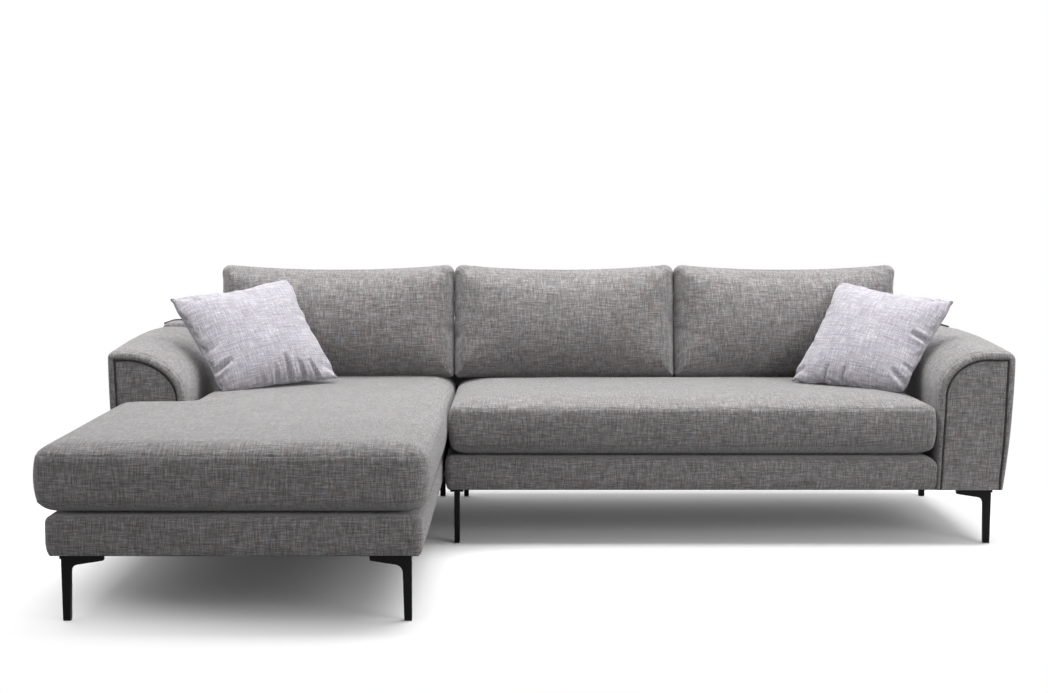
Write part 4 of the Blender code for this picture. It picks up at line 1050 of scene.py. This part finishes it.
def stuffed(corners, dips, thickness, round_edge, rise, reach, spacing, seed):
    """A cushion with one seam round its middle: (rear, front) depth, edge rounding and crown.

    Its local z axis is its front. It returns the unfinished cover.
    """
    parts = parts_of(dipped(shrunk(corners, 0.0), dips), spacing)

    def ring_at(distance):
        return dipped(divided(shrunk(corners, distance), parts), dips)

    cover = Cover()
    turns = quarter(9)
    for face in (0, 1):
        sign = (-1, 1)[face]
        edge = round_edge[face]
        rings = [flat(ring_at(SEAM_DEPTH), 0.0)]
        for turn in turns[1:] if edge < KNIFE_EDGE else turns:
            distance = edge * (1 - math.cos(turn))
            depth = max(SEAM_WIDTH, thickness[face] * math.sin(turn))
            rings.append(flat(ring_at(distance), sign * depth))
        cover.rings(rings)
        seam = rings[-1][:, :2]
        places, triangles = filling(seam, (0.4 * spacing, spacing), spacing)
        apart = soft_distance(places, seam)
        height = rise[face] * crown(apart, reach[face])
        waves = wander(flat(places, seed), STUFFED_SWAY_SCALE, seed)
        sway = STUFFED_SWAY * np.minimum(1.0, apart / STUFFED_SWAY_REACH) * waves
        points = flat(places, 0.0)
        points[:, 2] = sign * (thickness[face] + height + sway)
        cover.fill(points, triangles, places)
    return cover


def fill_out(obj, held, slack, pressure, reach):
    """Marks a cushion to be filled: held points stay, and the others may move so far."""
    group = obj.vertex_groups.new(name="held")
    group.add([int(i) for i in np.flatnonzero(held)], 1.0, "REPLACE")
    cloth = obj.modifiers.new("filling", "CLOTH")
    cloth.settings.quality = 5
    cloth.settings.mass = 0.3
    cloth.settings.use_pressure = True
    cloth.settings.uniform_pressure_force = pressure
    cloth.settings.shrink_min = -slack
    cloth.settings.vertex_group_mass = "held"
    cloth.settings.effector_weights.gravity = 0.0
    cloth.settings.bending_stiffness = 0.35
    cloth.collision_settings.use_collision = False
    obj["filling_reach"] = reach


def settle(frames=20):
    """Runs the cloth of all marked cushions together, caps their moves and applies them."""
    cushions = [o for o in bpy.data.objects if "filling_reach" in o]
    if not cushions:
        return
    scene = bpy.context.scene
    for step in range(1, frames + 1):
        scene.frame_set(step)
    graph = bpy.context.evaluated_depsgraph_get()
    for obj in cushions:
        before = coordinates(obj)
        after = coordinates(obj.evaluated_get(graph))
        move = after - before
        length = np.linalg.norm(move, axis=1)
        reach = obj["filling_reach"]
        share = reach * np.tanh(length / reach) / np.maximum(length, 1e-9)
        obj.modifiers.clear()
        obj.vertex_groups.clear()
        set_coordinates(obj, before + move * share[:, None])
        del obj["filling_reach"]
    scene.frame_set(1)


BACK_CUSHIONS = ("left_back_cushion", "middle_back_cushion", "right_back_cushion")
BACK_LEAN = 9.0
BACK_FRONT = 0.109
BACK_HALF = 0.053
BACK_CORNERS = 0.034
BACK_FOOT = 0.018
BACK_HOLLOW = 0.019
# How much wider each is at the top, on its left and its right.
BACK_FLARE = ((0.014, 0.0), (0.0, 0.0), (0.0, 0.024))
BACK_ROUNDING = (0.026, 0.034)
BACK_CROWN = (0.010, 0.054)
BACK_CROWN_REACH = (0.12, 0.19)
CUSHION_GAP = 0.0008
# An outer side has no neighbour within this, so it isn't pressed flat.
OPEN_SIDE = 1.0
# What the filling leaves in place: near the seam, and the rear that lies on the back.
BACK_HELD_SEAM = 0.004
BACK_HELD_REAR = -0.05
# The filling: how much larger the cloth is cut, the pressure and the furthest move.
BACK_FILL = (0.02, 2.5, 0.010)


def sides_of(index):
    """Where a back cushion's sides may reach: halfway to its neighbours."""
    low, high = (corner.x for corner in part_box(BACK_CUSHIONS[index]))
    if index > 0:
        low = (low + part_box(BACK_CUSHIONS[index - 1])[1].x + CUSHION_GAP) / 2
    if index + 1 < len(BACK_CUSHIONS):
        high = (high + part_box(BACK_CUSHIONS[index + 1])[0].x - CUSHION_GAP) / 2
    return low, high


def back_cushions():
    """Three plump cushions that lean on the back, each sewn round its middle."""
    turn = Matrix.Rotation(math.radians(90 - BACK_LEAN), 4, "X")
    made = []
    for index, name in enumerate(BACK_CUSHIONS):
        spots = local_points(name, turn)
        low, high = spots.min(0), spots.max(0)
        left, right = sides_of(index)
        flare = BACK_FLARE[index]
        corners = [
            (left, low[1], BACK_FOOT),
            (right, low[1], BACK_FOOT),
            (right + flare[1], high[1], BACK_CORNERS),
            (left - flare[0], high[1], BACK_CORNERS),
        ]
        cover = stuffed(
            corners, [((0, 1), BACK_HOLLOW)], (BACK_HALF, BACK_HALF), BACK_ROUNDING,
            BACK_CROWN, BACK_CROWN_REACH, CLOTH_SPACING, 21 + index)
        obj = cover.make(name + "_cloth")
        points = coordinates(obj)
        held = (np.abs(points[:, 2]) < BACK_HELD_SEAM) | (points[:, 2] < BACK_HELD_REAR)
        fill_out(obj, held, *BACK_FILL)
        obj.matrix_world = turn @ Matrix.Translation((0, 0, high[2] - BACK_FRONT))
        dress(obj, GREY_TWEED, name, "grey_tweed", name)
        first, last = index == 0, index == len(BACK_CUSHIONS) - 1
        made.append((obj, left - (OPEN_SIDE if first else 0.0), right + (OPEN_SIDE if last else 0.0)))
    return made


def press_together(made):
    """Flattens the back cushions' sides where they press on each other."""
    for obj, left, right in made:
        points = coordinates(obj)
        points[:, 0] = np.clip(points[:, 0], left, right)
        set_coordinates(obj, points)


SCATTER_RECLINE = 42.0
SCATTER_TURNS = {"left_scatter_cushion": (31.5, 8.4), "right_scatter_cushion": (-35.4, -7.9)}
# The soft cushions sink further into their corners than the rigid ones may: recline and shift.
SCATTER_SETTLED = {
    "left_scatter_cushion": (36.0, (-0.0061, 0.0357, -0.0058)),
    "right_scatter_cushion": (36.0, (0.0100, 0.0440, -0.0080)),
}
SCATTER_SEAM = 0.003
SCATTER_CROWN = (0.064, 0.058)
SCATTER_CROWN_REACH = 0.18
SCATTER_SPACING = 0.0085
SCATTER_DRAW = {(0, 1): 0.013, (0, -1): -0.001, (1, 0): 0.012, (-1, 0): 0.012}
SCATTER_CORNER = 0.004
SCATTER_ROUNDING = 0.004
SCATTER_HELD_SEAM = 0.0005
SCATTER_FILL = (0.04, 3.0, 0.014)
# Each cushion's corners in its own plane, from the bottom left anticlockwise.
SCATTER_CORNERS = {
    "left_scatter_cushion": ((-0.189, -0.177), (0.220, -0.214), (0.203, 0.198), (-0.234, 0.194)),
    "right_scatter_cushion": ((-0.210, -0.216), (0.186, -0.172), (0.223, 0.189), (-0.199, 0.196)),
}
# Folds on the front: from and to as shares of the half size, depth and width in metres.
SCATTER_FOLDS = {
    "left_scatter_cushion": (
        ((-1.04, -0.62), (-0.58, -0.44), 0.036, 0.0075),
        ((-0.98, -0.95), (-0.62, -0.74), 0.009, 0.010),
        ((-0.22, -1.02), (-0.20, -0.80), 0.012, 0.007),
        ((-0.02, -1.02), (0.0, -0.66), 0.024, 0.0065),
        ((0.20, -1.02), (0.19, -0.54), 0.032, 0.007),
        ((0.42, -1.02), (0.38, -0.68), 0.024, 0.006),
        ((0.64, -1.02), (0.54, -0.70), 0.020, 0.006),
        ((1.0, -0.98), (0.72, -0.76), 0.008, 0.009),
        ((0.97, 0.97), (0.70, 0.66), 0.006, 0.010),
        ((-0.97, 0.97), (-0.62, 0.70), 0.007, 0.011),
    ),
    "right_scatter_cushion": (
        ((1.04, 0.06), (0.68, 0.12), 0.034, 0.0075),
        ((1.02, -0.84), (0.60, -0.56), 0.036, 0.0075),
        ((1.02, -0.56), (0.74, -0.42), 0.024, 0.0065),
        ((0.78, -1.02), (0.62, -0.80), 0.014, 0.008),
        ((-0.42, -1.02), (-0.38, -0.72), 0.022, 0.006),
        ((-0.12, -1.02), (-0.10, -0.70), 0.024, 0.006),
        ((0.26, -1.02), (0.22, -0.82), 0.010, 0.008),
        ((-0.97, -0.97), (-0.74, -0.78), 0.010, 0.008),
        ((-0.97, 0.97), (-0.66, 0.68), 0.006, 0.010),
        ((0.97, 0.97), (0.62, 0.70), 0.007, 0.011),
    ),
}


# A fold starts this share before its first point and fades by this power along its length.
FOLD_START = -0.15
FOLD_FADE = 0.7
# A valley goes no deeper than this share of the front's height, and only on the front.
FOLD_DEEPEST = 0.9
FOLD_FRONT = 0.006
# The ridge beside it: height as a share of the depth, and distance in widths.
FOLD_RIDGE = 0.3
FOLD_RIDGE_APART = 2.1
# The notch in the cushion's edge: share of the depth, and size in widths.
FOLD_NOTCH = 0.5
FOLD_NOTCH_SIZE = 1.6


def folded(points, half, folds):
    """Presses folds into a cushion's front and notches its edge where they start."""
    moved = points.copy()
    front = np.clip(points[:, 2] / FOLD_FRONT, 0, 1)
    for start, end, depth, width in folds:
        start = np.array(start) * half
        along = np.array(end) * half - start
        offset = points[:, :2] - start
        share = np.clip((offset @ along) / (along @ along), FOLD_START, 1)
        apart = np.linalg.norm(offset - share[:, None] * along, axis=1)
        fade = np.clip(1 - share, 0, 1) ** FOLD_FADE
        valley = np.exp(-(apart / width) ** 2) * fade
        ridge = np.exp(-((apart - FOLD_RIDGE_APART * width) / width) ** 2) * fade
        level = np.minimum(depth, FOLD_DEEPEST * np.maximum(points[:, 2], 0.0))
        moved[:, 2] -= (valley * level - FOLD_RIDGE * ridge * depth) * front
        edge = np.exp(-np.linalg.norm(offset, axis=1) / (FOLD_NOTCH_SIZE * width))
        moved[:, :2] += (along / np.linalg.norm(along)) * (FOLD_NOTCH * depth * edge)[:, None]
    return moved


def scatter_turn(yaw, roll, recline):
    tilt = Matrix.Rotation(math.radians(90 - recline), 4, "X")
    return Matrix.Rotation(math.radians(yaw), 4, "Z") @ tilt @ Matrix.Rotation(math.radians(roll), 4, "Z")


def finer(obj):
    """Cuts each face into four smooth ones, so that narrow folds can show."""
    cut = obj.modifiers.new("finer", "SUBSURF")
    cut.levels = 1
    mesh = bpy.data.meshes.new_from_object(obj.evaluated_get(bpy.context.evaluated_depsgraph_get()))
    obj.modifiers.clear()
    obj.data = mesh


def scatter_cushions():
    """Two loose square cushions with a knife edge and pointed corners; fold_scatter_cushions presses in their
    folds later.
    """
    for index, (name, (yaw, roll)) in enumerate(SCATTER_TURNS.items()):
        turn = scatter_turn(yaw, roll, SCATTER_RECLINE)
        spots = local_points(name, turn)
        low, high = spots.min(0), spots.max(0)
        middle = (low + high) / 2
        corners = [(x, y, SCATTER_CORNER) for x, y in SCATTER_CORNERS[name]]
        cover = stuffed(
            corners, list(SCATTER_DRAW.items()), (SCATTER_SEAM,) * 2, (SCATTER_ROUNDING,) * 2,
            SCATTER_CROWN, (SCATTER_CROWN_REACH,) * 2, SCATTER_SPACING, 31 + index)
        obj = cover.make(name + "_cloth")
        fill_out(obj, np.abs(coordinates(obj)[:, 2]) < SCATTER_HELD_SEAM, *SCATTER_FILL)
        recline, shift = SCATTER_SETTLED[name]
        centre = turn @ Vector(middle) + Vector(shift)
        obj.matrix_world = Matrix.Translation(centre) @ scatter_turn(yaw, roll, recline)
        dress(obj, PALE_WEAVE, name, "pale_weave", name)


def fold_scatter_cushions():
    for name, folds in SCATTER_FOLDS.items():
        obj = bpy.data.objects[name + "_cloth"]
        finer(obj)
        points = coordinates(obj)
        low, high = points.min(0), points.max(0)
        set_coordinates(obj, folded(points, ((high - low) / 2)[:2], folds))


# Legs and the other hard pieces

# The part of a leg under its plate, down to the foot of its fillet, hangs lower.
LEG_ARM_FROM = 0.0045
LEG_ARM_TO = 0.07
LEG_ARM_DEEPER = 0.008
LEG_BEVEL = 0.0011
LEG_SHARP = math.radians(50)
LEG_FLAT = math.radians(1.5)
LEG_SMOOTH = math.radians(35)


def soften_leg(mesh):
    """Hangs the leg's arm lower and rounds its sharp edges."""
    bm = bmesh.new()
    bm.from_mesh(mesh)
    bmesh.ops.remove_doubles(bm, verts=bm.verts, dist=WELD)
    bmesh.ops.dissolve_limit(bm, angle_limit=LEG_FLAT, verts=bm.verts, edges=bm.edges)
    for vert in bm.verts:
        if LEG_ARM_FROM < COVER_Z - vert.co.z < LEG_ARM_TO:
            vert.co.z -= LEG_ARM_DEEPER
    sharp = [e for e in bm.edges if len(e.link_faces) == 2 and e.calc_face_angle() > LEG_SHARP]
    bmesh.ops.bevel(
        bm, geom=sharp, offset=LEG_BEVEL, segments=3, profile=0.5, affect="EDGES", clamp_overlap=True)
    bm.to_mesh(mesh)
    bm.free()
    mesh.shade_smooth()
    mesh.set_sharp_from_angle(angle=LEG_SMOOTH)


def legs():
    """Each leg keeps its shape, with a deeper arm and softened edges."""
    for name, node in frame["nodes"].items():
        if not name.endswith("_leg"):
            continue
        mesh = node.data.copy()
        soften_leg(mesh)
        dress(linked(name + "_steel", mesh), SATIN_BLACK, "sofa_frame", "black_steel", name)


def hard_pieces():
    for name, node in frame["nodes"].items():
        if name.endswith("_glide"):
            finish = GLIDE_BLACK
        elif name.endswith("_dust_cover"):
            finish = DUST_CLOTH
        elif name.endswith("_frame"):
            finish = TIMBER
        elif "_spring_" in name or "_connector_" in name:
            finish = SATIN_BLACK
        else:
            continue
        node.data.materials.clear()
        node.data.materials.append(finish)


# Studio

WHITE = (1.0, 1.0, 1.0, 1.0)
# How pale the floor is for the light it throws on the sofa, and where it's seen.
FLOOR_BOUNCE = 0.20
FLOOR_SEEN = 1.0
# The floor fades to white round the sofa's shadow: one over the shadow's reach, and its offset.
FLOOR_FADE = (1 / 1.75, 1 / 1.05, 0.0)
FLOOR_OFFSET = (0.0, -0.10, 0.0)
FLOOR_SHADOW_END = 0.88
FLOOR_WHITE_FROM = 1.4
# The pale room is dim in front of the sofa and bright behind it.
ROOM_FRONT = 0.125
ROOM_BACK = 1.45
TOP_POWER = 69.0
TOP_SIZE = (4.8, 1.5)
TOP_SPREAD = 115
TOP_PLACE = (0.05, 0.25, 2.75)
TOP_TARGET = (0.05, 0.45, 0.45)
# Soft square lamps: power, size, place and target.
LAMPS = {
    "side_light": (62.0, 2.0, (3.2, -3.0, 1.7), (0.6, 0.0, 0.35)),
    "front_light": (38.0, 4.0, (0.9, -5.5, 2.4), (0.3, 0.0, 0.4)),
}
# The photograph's camera: lens and sensor width in millimetres, tilt in degrees.
CAMERA_LENS = 50.548
CAMERA_SENSOR = 36.0
CAMERA_PLACE = (-0.116, -4.483, 1.0535)
CAMERA_TILT = 84.554


def lamp(name, power, place, target):
    light = bpy.data.lights.new(name, "AREA")
    light.energy = power
    obj = linked(name, light)
    obj.location = place
    away = Vector(place) - Vector(target)
    obj.rotation_euler = away.to_track_quat("Z", "Y").to_euler()
    return light


def room():
    """A pale room that is white where it's seen."""
    world = bpy.data.worlds.new("studio_world")
    bpy.context.scene.world = world
    w = Nodes(world)
    toward = w.node("ShaderNodeSeparateXYZ", {0: w.node("ShaderNodeTexCoord")}, out=1)
    depth = w.node("ShaderNodeMapRange", {0: toward, 1: -1.0, 2: 1.0, 3: ROOM_FRONT, 4: ROOM_BACK})
    pale = w.tree.nodes["Background"]
    pale.inputs[0].default_value = WHITE
    w.tree.links.new(depth, pale.inputs[1])
    white = w.node("ShaderNodeBackground", {0: WHITE, 1: 1.0})
    mixed = w.node("ShaderNodeMixShader", {0: w.looked_at(), 1: pale.outputs[0], 2: white})
    w.end("World Output", mixed)


def floor_finish():
    """A dim floor for the light it throws back; where it's seen, white beyond the sofa's shadow."""
    f = Finish("floor_white", 0.9, 0.0)
    f.set("Base Color", (FLOOR_BOUNCE,) * 3 + (1.0,))
    near = f.node("ShaderNodeBsdfDiffuse", {0: (FLOOR_SEEN,) * 3 + (1.0,)})
    place = f.place()
    inputs = {0: place, 1: FLOOR_FADE, 2: FLOOR_OFFSET}
    apart = f.node("ShaderNodeVectorMath", inputs, operation="MULTIPLY_ADD")
    apart = f.node("ShaderNodeVectorMath", {0: apart}, out=1, operation="LENGTH")
    inputs = {0: apart, 1: FLOOR_SHADOW_END, 2: FLOOR_WHITE_FROM}
    away = f.node("ShaderNodeMapRange", inputs, interpolation_type="SMOOTHSTEP")
    white = f.node("ShaderNodeEmission", {0: WHITE})
    seen = f.node("ShaderNodeMixShader", {0: away, 1: near, 2: white})
    both = f.node("ShaderNodeMixShader", {0: f.looked_at(), 1: f.shader.outputs[0], 2: seen})
    f.end("Material Output", both)
    return f.material


def floor():
    mesh = bpy.data.meshes.new("floor")
    bm = bmesh.new()
    bmesh.ops.create_grid(bm, x_segments=1, y_segments=1, size=30.0)
    bm.to_mesh(mesh)
    bm.free()
    mesh.materials.append(floor_finish())
    linked("floor", mesh)


def lights():
    top = lamp("top_light", TOP_POWER, TOP_PLACE, TOP_TARGET)
    top.shape = "RECTANGLE"
    top.size, top.size_y = TOP_SIZE
    top.spread = math.radians(TOP_SPREAD)
    for name, (power, size, place, target) in LAMPS.items():
        lamp(name, power, place, target).size = size


def camera():
    data = bpy.data.cameras.new("camera")
    data.lens = CAMERA_LENS
    data.sensor_width = CAMERA_SENSOR
    obj = linked("camera", data)
    obj.location = CAMERA_PLACE
    obj.rotation_euler = (math.radians(CAMERA_TILT), 0, 0)
    bpy.context.scene.camera = obj


bpy.context.scene.view_settings.view_transform = "Standard"
room()
floor()
lights()
camera()
for side, mirror in (("left", True), ("right", False)):
    arm_cover(side, mirror)
    arm_panel(side, mirror)
    arm_piping(side, mirror)
bases()
for module, left_end in (("chaise", True), ("main", False)):
    back_cloth(module, left_end)
    back_piping(module, left_end)
seat_cushions()
leaning = back_cushions()
scatter_cushions()
settle()
press_together(leaning)
fold_scatter_cushions()
legs()
hard_pieces()
